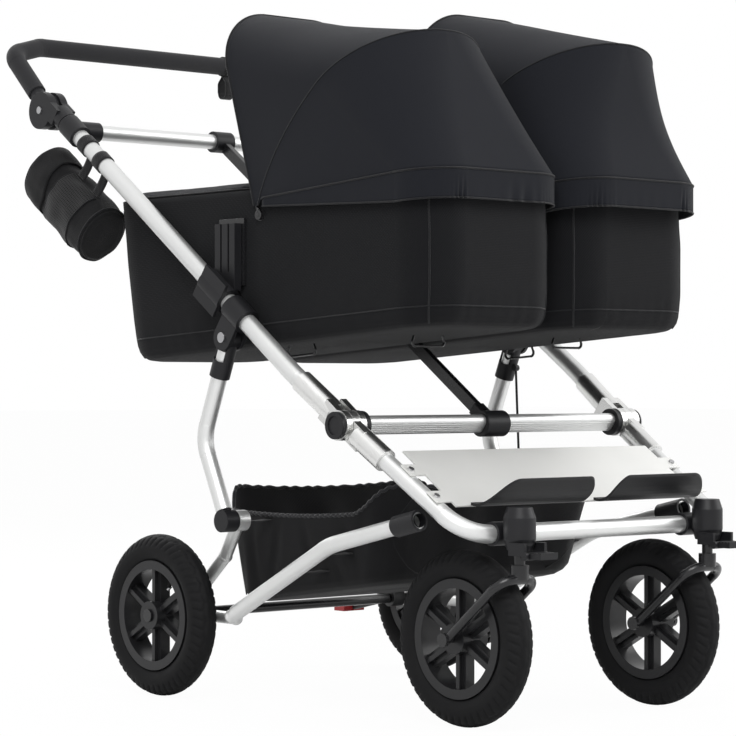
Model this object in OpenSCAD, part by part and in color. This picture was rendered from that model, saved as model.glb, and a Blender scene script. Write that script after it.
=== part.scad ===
// Side-by-side twin pram: folding chassis with two carrycots.
// The front is -Y, the floor is Z = 0, and the left side is +X.

/* [Frame] */
// Fold hinge, distance from the origin along Y
hinge_y = -282; // [-290:1:-274]
// Fold hinge, height above the floor
hinge_z = 430; // [424:1:436]
// Slope of the push tubes above the horizontal, in degrees
push_slope = 35.6; // [34:0.1:37]
// Slope of the front tube below the horizontal, in degrees
front_slope = 34; // [33:0.1:35]
// Distance of each push tube from the middle plane
push_x = 304; // [302:1:308]
// Distance of each fold hinge from the middle plane
hinge_x = 290; // [288:0.5:292]
// Outer diameter of the push tubes
push_d = 28; // [25:0.5:29]
// Wall of every hollow tube
tube_wall = 2; // [1.5:0.1:3]
// Length of a push tube from the fold hinge to the handle hub
push_len = 897; // [880:1:910]
// Distance of the rear crossbar from the upper end of the push tubes
rear_bar_back = 83; // [72:1:97]
// Outer diameter of the rear crossbar
rear_bar_d = 25; // [20:0.5:27]

/* [Front] */
// Outer diameter of the front tube
front_d = 26; // [22:0.5:27]
// Distance from the fold hinge to the front bar, along the slope
front_len = 269; // [264:1:275]
// Half width of the front tube where its corners start
front_corner_x = 272; // [268:1:274]
// Corner radius of the front tube
front_corner_r = 52; // [44:1:54]
// Caster axis, distance from the middle plane
caster_x = 198; // [194:1:202]
// Distance from the front bar to the caster axis
caster_reach = 37; // [36:0.5:40]
// Distance that each front wheel trails behind its caster axis
caster_trail = 110; // [104:1:116]
// Turn of the casters in the stored pose, in degrees
caster_yaw = 0; // [-8:1:4]

/* [Wheels] */
// Outer diameter of every tyre
wheel_d = 254; // [248:1:256]
// Width of every tyre
tyre_w = 46; // [40:1:48]
// Outer diameter of every rim
rim_d = 172; // [166:1:176]
// Spokes in a rim
spoke_count = 6; // [5:1:8]
// Rear wheel middle, distance from the middle plane
rear_wheel_x = 290; // [289:0.5:292]
// Rear axle, distance from the origin along Y
rear_axle_y = 164; // [158:1:170]

/* [Rear] */
// Outer diameter of the rear legs
leg_d = 25; // [22:0.5:25]
// Leg foot pivot, distance from the origin along Y
foot_y = -20; // [-24:1:-16]
// Leg foot pivot, height above the floor
foot_z = 282; // [276:1:288]
// Outer diameter of the bottom tubes
bottom_d = 24; // [20:0.5:24]
// Distance of each bottom tube from the middle plane
bottom_x = 279; // [278:0.5:281]

/* [Handle] */
// Distance from the hub axis to the grip axis
handle_reach = 178; // [168:1:190]
// Slope of the handle above the horizontal, in degrees
handle_slope = 44; // [38:1:50]
// Outer diameter of the foam grip
grip_d = 31; // [28:0.5:33]

/* [Carrycots] */
// Inner wall of a cot, distance from the middle plane
cot_in_x = 9.5; // [8.5:0.5:11]
// Outer wall of a cot, distance from the middle plane
cot_out_x = 284; // [280:1:284.5]
// Front wall of the cots along Y
cot_front_y = -447; // [-452:1:-440]
// Rear wall of the cots along Y, at the rim
cot_rear_y = 321; // [312:1:322]
// Underside of the cots, height above the floor
cot_floor_z = 521; // [516:1:528]
// Rim of the cots, height above the floor
cot_rim_z = 784; // [776:1:790]
// Corner radius of a cot seen from above
cot_corner_r = 70; // [60:1:80]
// Wall of a cot
cot_wall = 8; // [6:0.5:10]
// Height of a canopy bow above its pivot, along the bow
bow_len = 330; // [315:1:340]

/* [Hidden] */
$fn = 48;

// Finishes
silver = "#d5d7d8";
bright = "#e4e5e6";
black = "#232426";
foam = "#3a3b3d";
rubber = "#1f2021";
canopy_cloth = "#2b2d33";
cot_cloth = "#1d1d20";
red = "#b3272c";

// Clearances
run_gap = 0.05;
seat_gap = 0.3;
side_gap = 0.5;
overrun = 2;
bend_ease = 0.5;
bend_bite = 0.5;

// Fold hinge
knuckle_d = 44;
knuckle_w = 14;
ear_w = 11.5;
hinge_pin_d = 10;
sleeve_d = 35;
sleeve_start = 26;
sleeve_end = 108;
sleeve_tube_start = 44;
neck_len = 42;
cap_d = 40;
cap_t = 7;
cap_dish_d = 28;
cap_dish_t = 2;
ear_in_x = hinge_x - knuckle_w / 2 - side_gap;
ear_out_x = hinge_x + knuckle_w / 2 + side_gap;

// Push tubes bend out a little above the hinge
push_bend_s = 132;
push_bend_r = 300;
push_root_x = hinge_x + 2 * side_gap;
hub_drop = 12;
hub_socket_len = 29;
hub_d = 62;
hub_cheek = 13;
hub_lug_d = 54;
hub_lug_w = 9;
hub_pin_d = 12;
button_d = 18;
button_len = 8;
button_show = 4.5;
button_wall = 2.5;

// Crossbars and centre rail
rear_bar_s = push_len - rear_bar_back;
oval_w = 20;
oval_h = 30;
oval_groove_w = 1.6;
oval_groove_t = 0.8;
oval_groove_count = 5;
oval_groove_pitch = 3.6;
crossbar_cap_t = 9;
crossbar_cap_d = 42;
rail_w = 10;
rail_h = 18;
clip_d = 40;
clip_w = 46;
socket_d = 38;
socket_len = 40;
socket_stub = 46;
stub_wall = 4;

// Rear legs
pivot_s = 284;
pivot_drop = 43;
leg_kink_y = 38;
leg_kink_z = 405;
leg_kink_r = 60;
leg_pin_d = 10;
leg_lug_d = 36;
leg_lug_w = 17;
leg_sleeve_d = 32;
leg_sleeve_len = 64;
clamp_d = 40;
clamp_len = 44;
clamp_plate_t = 6;
clamp_plate_w = 40;
bolt_head_d = 16;
bolt_head_t = 2.5;
foot_eye_d = 34;
cable_d = 4;
cable_lug_d = 10;
cable_lug_w = 8;
cable_top_share = 0.6;

// Rear frame
link_d = 20;
link_knee_share = 0.38;
link_foot_x = bottom_x + 1;
link_knee_x = 251;
link_axle_x = 247;
axle_d = 16;
stub_d = 12;
bracket_d = 34;
bracket_w = 24;
clamp_back = 190;
clamp_drop = 32;
bottom_bend_y = -229;
bottom_bend_z = 253;
bottom_bend_r = 120;
bottom_end_y = -10;
bottom_end_z = 140;
arm_turn_y = 34;
arm_turn_x = 243;
arm_d = 19;
arm_plug = 20;
arm_lead = 12.5;
ball_grow = 2;
end_clamp_d = 31;
end_clamp_len = 46;

// Front frame parts
plate_top_v = 88;
plate_bottom_v = 222;
plate_half_w = 256;
plate_t = 2.5;
plate_tab_w = 26;
plate_tab_x = 284;
plate_tab_shares = [0.34, 0.82];
rivet_d = 9;
rivet_t = 2.5;
rest_in_x = 22;
rest_out_x = 228;
rest_t = 4;
rest_deep = 56;
rest_rise = 34;
rest_dip = 5;
rest_steps = 10;
rest_out_r = 46;
rest_in_r = 20;
post_d = 46;
post_waist_d = 36;
post_low_z = 258;
post_high_z = 318;
post_sleeve_len = 40;
post_sleeve_d = 34;
stem_d = 16;
lock_pin_d = 5;
lock_barrel_d = 11;
lock_ear_t = 5;
lock_w = 34;
lock_z = 251;
lock_pivot_reach = 31;
lock_tip_reach = 47;
lock_t = 8;
lock_rib_t = 1.5;
lock_rib_count = 4;
lock_rib_pitch = 6;

// Forks
fork_d = 14;
fork_side_gap = 6;
fork_half = tyre_w / 2 + fork_side_gap + fork_d / 2;
fork_crown_r = 26;
crown_gap = 8;
crown_d = 26;
crown_top_z = 237;
front_axle_d = 10;
axle_nut_d = 20;
axle_nut_t = 6;

// Wheels
rim_w = 38;
rim_band = 14;
hub_w = 48;
wheel_hub_d = 44;
spoke_w = 20;
spoke_t = 16;
spoke_rib_w = 7;
spoke_rib_t = 30;

// Carrycots
cot_rear_slant = 45;
cot_nose_lift = 52;
cot_roll = 34;
cot_floor_t = 10;
cot_low_share = 0.8;
cot_turn_share = 0.25;
cot_turn_rise_share = 0.2;
mattress_t = 46;
mattress_gap = 3;
mattress_rest = 2;
mattress_top_in = 14;
mattress_shares = [0.53, 0.78];
apron_front_y = -62;
apron_t = 13;
apron_shares = [0.35, 0.7];
apron_shoulder = 8;
apron_crown = 30;
apron_draw = 4;
bracket_t = 5;
bracket_half_y = 30;
bracket_low_z = 640;
bracket_high_z = 742;
adapter_y = -12;
adapter_half_y = 24;
adapter_t = 13;
adapter_high_z = 734;
adapter_slot_w = 4;
adapter_slot_y = 9;
adapter_slot_z = 660;
adapter_clamp_d = 42;
adapter_clamp_len = 60;
adapter_plate_t = 5;
adapter_plate_w = 56;
wire_d = 3.6;
wire_w = 70;
wire_fall = 15;
wire_r = 6;
wire_side_x = 232;
wire_side_y = -110;
wire_front_x = 147;
wire_front_y = -300;
corner_steps = 5;
side_steps = 8;

// Canopies
bow_y = -76;
bow_z = 745;
bow_d = 5;
bow_off = 3.5;
bow_in_x = cot_in_x - bow_off;
bow_out_x = cot_out_x + bow_off;
bow_r = 100;
bow_backs = [-6, 17];
bow_eye_d = 15;
bow_eye_w = 4;
bow_pin_d = 6;
bow_flange_d = 18;
bow_flange_t = 0.6;
canopy_t = 2;
canopy_gap = 1;
canopy_in_x = bow_in_x - bow_d / 2 - canopy_gap - canopy_t;
canopy_out_x = bow_out_x + bow_d / 2 + canopy_gap + canopy_t;
canopy_mid_tilts = [53, 45];
canopy_mid_root_tilts = [30, 9];
canopy_mid_curve = 0.55;
canopy_mid_highs = [434, 374];
canopy_mid_r = 143;
canopy_hem_tilts = [84, 86];
canopy_hem_outs = [21, 9];
canopy_hem_lifts = [10, 24];
canopy_hem_r = 75;
canopy_front_sag_shares = [0.04, 0.008];
canopy_roof_sag_shares = [0.002, 0.02];
canopy_valance = 42;
canopy_root = 14;
canopy_fade_share = 0.3;
canopy_across = 32;
canopy_side_steps = 4;
canopy_corner_steps = 10;
canopy_rows = [-1, 0, 0.2, 0.4, 0.6, 0.8, 1, 1.2, 1.4, 1.6, 1.8, 2];

// Basket, bag and strap
basket_half_x = 224;
basket_front_y = -304;
basket_rear_y = 96;
basket_front_z = 198;
basket_rear_z = 142;
basket_rim_front_z = 344;
basket_rim_rear_z = 332;
basket_taper = 38;
basket_corner_r = 46;
basket_wall = 3;
basket_rows = [0.12, 0.35, 0.7, 1];
basket_sag = 10;
basket_fold = 12;
basket_loose_share = 0.8;
basket_fold_turn = 77;
strap_w = 20;
strap_t = 1.8;
bag_x = 280;
bag_half_x = 44;
bag_half_drop = 53;
bag_drop = 114;
bag_len = 190;
bag_top_back = 34;
bag_high_s = push_len - bag_top_back;
bag_low_s = bag_high_s - bag_len;
bag_wall = 3;
bag_sides = 24;
bag_strap_steps = [44, 94];
bag_strap_in = 3.6;
strap_ys = [-200, -140];
wrist_x = 163;
wrist_w = 18;
wrist_t = 2.4;
wrist_drop = 48;
wrist_loop_d = 24;

// Brake
pedal_x = 206;
pedal_collar_w = 26;
pedal_collar_d = 28;
pedal_arm_d = 8;
pedal_tip_y = 268;
pedal_tip_z = 104;
pedal_pad_w = 46;
pedal_pad_l = 26;
pedal_pad_t = 11;

// Worked-out places, as [y, z]
function push_at(s, drop = 0) = [
  hinge_y + s * cos(push_slope) + drop * sin(push_slope),
  hinge_z + s * sin(push_slope) - drop * cos(push_slope)];
function front_at(v, drop = 0) = [
  hinge_y - v * cos(front_slope) + drop * sin(front_slope),
  hinge_z - v * sin(front_slope) - drop * cos(front_slope)];
pivot_at = push_at(pivot_s, pivot_drop);
hub_at = push_at(push_len, hub_drop);
rear_bar_at = push_at(rear_bar_s);
front_bar_at = front_at(front_len);
caster_y = front_bar_at[0] - caster_reach;
axle_z = wheel_d / 2;
kink_at = [leg_kink_y, leg_kink_z];
foot_at = [foot_y, foot_z];
axle_at = [rear_axle_y, axle_z];
clamp_at = front_at(clamp_back, clamp_drop);
hem_reach = bow_y - cot_front_y + 2 * (canopy_t + seat_gap);

// Frames of reference
module on_push() translate([0, hinge_y, hinge_z]) rotate([push_slope, 0, 0]) children();
module on_front() translate([0, hinge_y, hinge_z]) rotate([180 + front_slope, 0, 0]) children();
module on_handle() translate([0, hub_at[0], hub_at[1]]) rotate([handle_slope, 0, 0]) children();
module in_side_plane(x) translate([x, 0, 0]) rotate([90, 0, 90]) children();
module on_caster(side) translate([side * caster_x, caster_y, 0]) rotate([0, 0, caster_yaw]) children();
module across(x, y, z, d, w) translate([x - w / 2, y, z]) rotate([0, 90, 0]) cylinder(d = d, h = w);
module both() for (side = [-1, 1]) scale_side(side) children();
module scale_side(side) if (side > 0) children(); else mirror([1, 0, 0]) children();

// Round rod between two points in space
module rod(a, b, d) {
  run = b - a;
  flat = norm([run[0], run[1]]);
  translate(a) rotate([0, atan2(flat, run[2]), atan2(run[1], run[0])]) cylinder(d = d, h = norm(run));
}

// Flat path with rounded corners; each bend is a hair thicker than the runs that enter it
function unit2(v) = v / norm(v);
function turn2(u, w) = atan2(u[0] * w[1] - u[1] * w[0], u * w);
function bend_cut(p, r, i) =
  i == 0 || i == len(p) - 1 ? 0
  : r * tan(abs(turn2(unit2(p[i] - p[i - 1]), unit2(p[i + 1] - p[i]))) / 2) - bend_bite;
module bent_rod(p, r, d, reach = 0) {
  last = len(p) - 1;
  for (i = [0 : last - 1]) {
    u = unit2(p[i + 1] - p[i]);
    a = p[i] + u * (bend_cut(p, r, i) - (i == 0 ? reach : 0));
    b = p[i + 1] - u * (bend_cut(p, r, i + 1) - (i == last - 1 ? reach : 0));
    translate(a) rotate([0, 0, atan2(u[1], u[0])]) rotate([0, 90, 0]) cylinder(d = d, h = norm(b - a));
  }
  for (i = [1 : 1 : last - 1]) {
    u = unit2(p[i] - p[i - 1]);
    w = unit2(p[i + 1] - p[i]);
    ang = turn2(u, w);
    way = ang > 0 ? 1 : -1;
    middle = p[i] - u * r * tan(abs(ang) / 2) + way * r * [-u[1], u[0]];
    from = way > 0 ? atan2(u[1], u[0]) - 90 : atan2(w[1], w[0]) + 90;
    translate(middle) rotate([0, 0, from]) rotate_extrude(angle = abs(ang))
      translate([r, 0]) circle(d = d + bend_ease);
  }
}
module bent_tube(p, r, d, wall) {
  difference() {
    bent_rod(p, r, d);
    bent_rod(p, r, d - 2 * wall, overrun);
  }
}

// Closed surface through rings of equal length; the ends are fans, or strips across a thin sheet
function mean3(r) = [for (k = [0 : 2]) [for (q = r) q[k]] * [for (q = r) 1] / len(r)];
module loft(rings, sheet = false) {
  n = len(rings[0]);
  m = len(rings);
  last = n * m;
  points = concat([for (r = rings) each r], sheet ? [] : [mean3(rings[0]), mean3(rings[m - 1])]);
  skin = [
    for (j = [0 : m - 2], i = [0 : n - 1], half = [0, 1])
      let (a = j * n + i, b = j * n + (i + 1) % n)
        half == 0 ? [a, a + n, b] : [b, a + n, b + n]];
  fans = [
    for (i = [0 : n - 1], end = [0, 1])
      let (k = (i + 1) % n)
        end == 0 ? [last, i, k] : [last + 1, last - n + k, last - n + i]];
  strips = [
    for (i = [0 : n / 2 - 2], end = [0, 1], half = [0, 1])
      let (
        far = half == 0 ? i : n - 2 - i,
        corners = half == 0 ? [n - 1 - i, i, i + 1] : [n - 1 - i, i + 1, far])
        end == 0 ? corners : [for (k = [2, 1, 0]) last - n + corners[k]]];
  polyhedron(points = points, faces = concat(skin, sheet ? strips : fans));
}

// Rounded rectangle from x0 to x1 and y0 to y1
function round_box(x0, x1, y0, y1, r) = [
  for (q = [0 : 3], k = [0 : corner_steps])
    let (
      a = 90 * q + 90 * k / corner_steps,
      cx = q == 0 || q == 3 ? x1 - r : x0 + r,
      cy = q < 2 ? y1 - r : y0 + r)
      [cx + r * cos(a), cy + r * sin(a)]];
function divided(ring) = [
  for (i = [0 : len(ring) - 1])
    let (
      a = ring[i],
      b = ring[(i + 1) % len(ring)],
      m = i % (corner_steps + 1) == corner_steps ? side_steps : 1)
      for (k = [0 : m - 1]) a + (b - a) * k / m];
function raised(ring, base) = [for (p = ring) [p[0], p[1], base]];

// Push frame
module push_tube(side) {
  path = [
    [push_root_x + sleeve_tube_start * (push_x - push_root_x) / push_bend_s, sleeve_tube_start],
    [push_x, push_bend_s],
    [push_x, push_len - hub_d / 2 - overrun]];
  color(silver) scale_side(side) on_push() bent_tube(path, push_bend_r, push_d, tube_wall);
}
module push_tube_left() push_tube(1);
module push_tube_right() push_tube(-1);

module hinge_ear(x, w) {
  across(x + w / 2, 0, 0, knuckle_d, w);
  translate([x, 0, -sleeve_d / 2 + side_gap]) cube([w, neck_len, sleeve_d - 2 * side_gap]);
}
module upper_hinge_sleeves() {
  lean = atan2(push_x - push_root_x, push_bend_s);
  color(bright) both() on_push() difference() {
    union() {
      hinge_ear(ear_in_x - ear_w, ear_w);
      hinge_ear(ear_out_x, ear_w);
      translate([hinge_x, 0, 0]) rotate([0, 0, -lean]) translate([0, sleeve_start + overrun, 0])
        rotate([-90, 0, 0]) cylinder(d = sleeve_d, h = sleeve_end - sleeve_start);
    }
    across(hinge_x, 0, 0, hinge_pin_d + 2 * run_gap, knuckle_w + 2 * (ear_w + overrun));
    translate([push_root_x, 0, 0]) rotate([0, 0, -lean]) translate([0, sleeve_tube_start - overrun, 0])
      rotate([-90, 0, 0]) cylinder(d = push_d + 2 * run_gap, h = push_len);
    across(hinge_x, 0, 0, knuckle_d + 2 * side_gap, knuckle_w + 2 * side_gap);
  }
}

module frame_pins() {
  color(bright) both() {
    across(hinge_x, hinge_y, hinge_z, hinge_pin_d, knuckle_w + 2 * ear_w + 2 * side_gap);
    across(push_x, pivot_at[0], pivot_at[1], leg_pin_d, leg_lug_w + 2 * (side_gap + clamp_plate_t));
    across(push_x + leg_lug_w / 2 + side_gap + clamp_plate_t + bolt_head_t / 2, pivot_at[0], pivot_at[1],
      bolt_head_d, bolt_head_t);
    across(push_x + hub_lug_w / 2 + side_gap + hub_cheek / 2 - button_wall, hub_at[0], hub_at[1],
      hub_pin_d, hub_lug_w + hub_cheek);
  }
}

module hinge_caps() {
  color(black) both() difference() {
    across(ear_out_x + ear_w + cap_t / 2, hinge_y, hinge_z, cap_d, cap_t);
    across(ear_out_x + ear_w + cap_t, hinge_y, hinge_z, cap_dish_d, 2 * cap_dish_t);
  }
}

module oval_section(grow = 0) {
  square([oval_w + 2 * grow, oval_h - oval_w], center = true);
  for (end = [-1, 1]) translate([0, end * (oval_h - oval_w) / 2]) circle(d = oval_w + 2 * grow);
}
bar_half = ear_in_x - ear_w - crossbar_cap_t - seat_gap;
module front_crossbar() {
  color(silver) on_push() translate([-bar_half, 0, 0]) rotate([90, 0, 90]) linear_extrude(2 * bar_half)
    difference() {
      oval_section();
      for (face = [-1, 1], k = [0 : oval_groove_count - 1])
        translate([face * oval_w / 2, (k - (oval_groove_count - 1) / 2) * oval_groove_pitch])
          square([2 * oval_groove_t, oval_groove_w], center = true);
    }
}

module crossbar_fittings() {
  color(black) {
    both() on_push() across(bar_half + crossbar_cap_t / 2, 0, 0, crossbar_cap_d, crossbar_cap_t);
    on_push() difference() {
      union() {
        across(0, 0, 0, clip_d, clip_w);
        translate([-rail_w, 0, -rail_h / 2]) cube([2 * rail_w, clip_d, rail_h]);
      }
      translate([-clip_w, 0, 0]) rotate([90, 0, 90]) linear_extrude(2 * clip_w) oval_section(run_gap);
      translate([-rail_w / 2 - run_gap, oval_h / 2, -rail_h / 2 - overrun])
        cube([rail_w + 2 * run_gap, clip_d, rail_h + 2 * overrun]);
    }
    on_push() translate([0, rear_bar_s, 0]) difference() {
      across(0, 0, 0, socket_d - overrun, clip_w - rail_w);
      across(0, 0, 0, rear_bar_d + 2 * run_gap, clip_w);
    }
    both() on_push() translate([0, rear_bar_s, 0]) difference() {
      union() {
        translate([push_x, -socket_len / 2, 0]) rotate([-90, 0, 0]) cylinder(d = socket_d, h = socket_len);
        across(push_x - socket_stub / 2, 0, 0, rear_bar_d + 2 * stub_wall, socket_stub);
      }
      translate([push_x, -socket_len, 0]) rotate([-90, 0, 0])
        cylinder(d = push_d + 2 * run_gap, h = 2 * socket_len);
      across(push_x - socket_stub, 0, 0, rear_bar_d + 2 * run_gap, socket_stub);
    }
  }
}

module centre_rail() {
  low = oval_h / 2 + side_gap;
  high = rear_bar_s - socket_d / 2 + overrun / 2 - seat_gap;
  color(black) on_push() translate([-rail_w / 2, low, -rail_h / 2]) cube([rail_w, high - low, rail_h]);
}

module rear_crossbar() {
  half = push_x - socket_stub / 2 - side_gap;
  color(silver) difference() {
    across(0, rear_bar_at[0], rear_bar_at[1], rear_bar_d, 2 * half);
    across(0, rear_bar_at[0], rear_bar_at[1], rear_bar_d - 2 * tube_wall, 2 * half + overrun);
  }
}

// Clamp on each push tube with two plates that carry the leg pivot
module leg_clamps() {
  plate_in = leg_lug_w / 2 + side_gap;
  color(black) both() on_push() difference() {
    union() {
      translate([push_x, pivot_s - clamp_len / 2, 0]) rotate([-90, 0, 0])
        cylinder(d = clamp_d, h = clamp_len);
      for (face = [-1, 1])
        translate([push_x + face * (plate_in + clamp_plate_t / 2), 0, 0]) {
          translate([-clamp_plate_t / 2, pivot_s - clamp_plate_w / 2, -pivot_drop])
            cube([clamp_plate_t, clamp_plate_w, pivot_drop]);
          across(0, pivot_s, -pivot_drop, clamp_plate_w, clamp_plate_t);
        }
    }
    translate([push_x, pivot_s - clamp_len, 0]) rotate([-90, 0, 0])
      cylinder(d = push_d + 2 * run_gap, h = 2 * clamp_len);
    across(push_x, pivot_s, -pivot_drop, leg_pin_d + 2 * run_gap, leg_lug_w + 4 * clamp_plate_t);
  }
}

// Adapter: clamp on the tube, outer cover plate and upright paddle for the cot
adapter_s = (adapter_y - hinge_y) / cos(push_slope) + adapter_clamp_len / 4;
adapter_in_x = cot_out_x + bracket_t + side_gap;
module cot_adapters() {
  color(black) both() {
    difference() {
      union() {
        on_push() {
          translate([push_x, adapter_s - adapter_clamp_len / 2, 0]) rotate([-90, 0, 0])
            cylinder(d = adapter_clamp_d, h = adapter_clamp_len);
          translate([push_x + push_d / 2, adapter_s - adapter_clamp_len / 2, -adapter_plate_w / 2])
            cube([adapter_plate_t, adapter_clamp_len, adapter_plate_w]);
        }
        translate([adapter_in_x, adapter_y - adapter_half_y, push_at(adapter_s)[1]])
          cube([adapter_t, 2 * adapter_half_y, adapter_high_z - push_at(adapter_s)[1]]);
      }
      on_push() translate([push_x, 0, 0]) rotate([-90, 0, 0])
        cylinder(d = push_d + 2 * run_gap, h = push_len);
      translate([0, adapter_y - 2 * adapter_half_y, 0])
        cube([adapter_in_x, 4 * adapter_half_y, 2 * adapter_high_z]);
      for (face = [-1, 1])
        translate([adapter_in_x, adapter_y + face * adapter_slot_y - adapter_slot_w / 2, adapter_slot_z])
          cube([2 * adapter_t, adapter_slot_w, adapter_high_z]);
    }
  }
}

module handle_hubs() {
  lug_half = hub_lug_w / 2 + side_gap;
  color(black) both() on_push() translate([push_x, push_len, -hub_drop]) difference() {
    union() {
      across(lug_half + hub_cheek / 2, 0, 0, hub_d, hub_cheek);
      across(-lug_half - hub_cheek / 2, 0, 0, hub_d, hub_cheek);
      translate([0, -hub_d / 2 - hub_socket_len, hub_drop]) rotate([-90, 0, 0])
        cylinder(d = socket_d - overrun, h = hub_socket_len);
      for (face = [-1, 1])
        translate([
          face * (lug_half + hub_cheek / 2) - hub_cheek / 2,
          -hub_d / 2 - hub_cheek,
          hub_drop - push_d / 2])
          cube([hub_cheek, hub_d / 2 + hub_cheek, push_d]);
    }
    translate([0, -hub_d / 2 - 2 * hub_socket_len, hub_drop]) rotate([-90, 0, 0])
      cylinder(d = push_d + 2 * run_gap, h = 2 * hub_socket_len - overrun + side_gap);
    across(0, 0, 0, hub_lug_d + 2 * side_gap, 2 * lug_half);
    across(lug_half + hub_cheek / 2 - button_wall, 0, 0, hub_pin_d + 2 * run_gap, 2 * lug_half + hub_cheek);
    across(-lug_half - hub_cheek, 0, 0, button_d + 2 * run_gap, 2 * (hub_cheek - button_wall - side_gap));
  }
}

// Bottle bag: an open cup along the right push tube
function bag_ring(s, grow, share) = [
  for (i = [0 : bag_sides - 1])
    let (a = 360 * i / bag_sides)
      [bag_half_x * share * cos(a) + grow * cos(a), bag_half_drop * share * sin(a) + grow * sin(a), s]];
bag_shares = [0.6, 0.9, 1, 1, 0.96, 1];
bag_place_shares = [0, 0.03, 0.14, 0.5, 0.85, 1];
module bottle_bag() {
  long = bag_high_s - bag_low_s;
  outer = [
    for (i = [0 : len(bag_shares) - 1])
      bag_ring(bag_low_s + long * bag_place_shares[i], 0, bag_shares[i])];
  inner = [
    for (i = [len(bag_shares) - 1 : -1 : 1])
      bag_ring(bag_low_s + long * bag_place_shares[i] + (i == 1 ? bag_wall : 0), -bag_wall, bag_shares[i])];
  color(cot_cloth) on_push() translate([-bag_x, 0, -bag_drop]) rotate([-90, 0, 0]) loft(concat(outer, inner));
}

module bag_straps() {
  aside = (push_x - push_d / 2 + bag_strap_in - strap_t / 2 - bag_x) / bag_half_x;
  tab = bag_drop - bag_half_drop * sqrt(1 - aside * aside) - push_d / 2 - seat_gap;
  color(black) on_push() for (step = bag_strap_steps) translate([-push_x, bag_low_s + step, 0]) difference() {
    union() {
      translate([0, -strap_w / 2, 0]) rotate([-90, 0, 0]) cylinder(d = push_d + 2 * strap_t, h = strap_w);
      translate([push_d / 2 - bag_strap_in, -strap_w / 2, -push_d / 2 - tab])
        cube([strap_t, strap_w, tab + push_d / 2]);
    }
    translate([0, -strap_w, 0]) rotate([-90, 0, 0]) cylinder(d = push_d + 2 * run_gap, h = 2 * strap_w);
  }
}

// Handle
handle_kink_share = 0.77;
handle_fall = 28;
handle_path = [
  [-push_x, hub_d / 2 + side_gap],
  [-push_x, handle_reach - handle_fall],
  [-push_x * handle_kink_share, handle_reach],
  [push_x * handle_kink_share, handle_reach],
  [push_x, handle_reach - handle_fall],
  [push_x, hub_d / 2 + side_gap]];
handle_bend_r = 34;
handle_d = 25;
module handle_tube() {
  color(black) on_handle() difference() {
    union() {
      bent_rod(handle_path, handle_bend_r, handle_d);
      both() {
        across(push_x, 0, 0, hub_lug_d, hub_lug_w);
        translate([push_x - hub_lug_w / 2, 0, -handle_d / 2 + side_gap])
          cube([hub_lug_w, hub_d / 2 + overrun, handle_d - 2 * side_gap]);
      }
    }
    both() across(push_x, 0, 0, hub_pin_d + 2 * run_gap, 2 * hub_lug_w);
  }
}
grip_path = [
  for (i = [0 : 5]) i == 0 || i == 5 ? [handle_path[i][0], hub_d / 2 + grip_d / 2] : handle_path[i]];
module handle_grip() {
  color(foam) on_handle() difference() {
    bent_rod(grip_path, handle_bend_r, grip_d);
    bent_rod(handle_path, handle_bend_r, handle_d + 2 * run_gap);
  }
}

module wrist_strap() {
  ring = grip_d + 2 * run_gap;
  grip_at = [hub_at[0] + handle_reach * cos(handle_slope), hub_at[1] + handle_reach * sin(handle_slope)];
  color(black) in_side_plane(wrist_x) translate(grip_at) linear_extrude(wrist_w) difference() {
    union() {
      circle(d = ring + 2 * wrist_t);
      translate([-wrist_loop_d / 2, -wrist_drop]) square([wrist_loop_d, wrist_drop]);
      translate([0, -wrist_drop]) circle(d = wrist_loop_d);
    }
    circle(d = ring);
    translate([-wrist_loop_d / 2 + wrist_t, -wrist_drop])
      square([wrist_loop_d - 2 * wrist_t, wrist_drop - ring / 2 - wrist_t]);
    translate([0, -wrist_drop]) circle(d = wrist_loop_d - 2 * wrist_t);
  }
}

module handle_button(side) {
  face = push_x - hub_lug_w / 2 - side_gap - hub_cheek;
  color(black) scale_side(side)
    across(face - button_show + button_len / 2, hub_at[0], hub_at[1], button_d, button_len);
}
module handle_button_left() handle_button(1);
module handle_button_right() handle_button(-1);

// Front frame
front_lean = (hinge_x - front_corner_x) / (front_len - front_corner_r);
front_half_path = [
  [hinge_x - front_lean * sleeve_tube_start, sleeve_tube_start],
  [front_corner_x - front_lean * front_corner_r, front_len]];
module front_tube() {
  path = [
    front_half_path[0], front_half_path[1],
    [-front_half_path[1][0], front_len], [-front_half_path[0][0], sleeve_tube_start]];
  color(silver) on_front() bent_tube(path, front_corner_r, front_d, tube_wall);
}

module lower_hinge_sleeves() {
  lean = atan(front_lean);
  color(bright) both() on_front() difference() {
    union() {
      across(hinge_x, 0, 0, knuckle_d, knuckle_w);
      translate([hinge_x - knuckle_w / 2, 0, -sleeve_d / 2 + side_gap])
        cube([knuckle_w, neck_len, sleeve_d - 2 * side_gap]);
      translate([hinge_x, 0, 0]) rotate([0, 0, lean]) translate([0, sleeve_start, 0])
        rotate([-90, 0, 0]) cylinder(d = sleeve_d, h = plate_top_v + overrun - sleeve_start);
    }
    across(hinge_x, 0, 0, hinge_pin_d + 2 * run_gap, 2 * knuckle_w);
    translate([hinge_x, 0, 0]) rotate([0, 0, lean]) translate([0, sleeve_tube_start - overrun, 0])
      rotate([-90, 0, 0]) cylinder(d = front_d + 2 * run_gap, h = front_len);
  }
}

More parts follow.
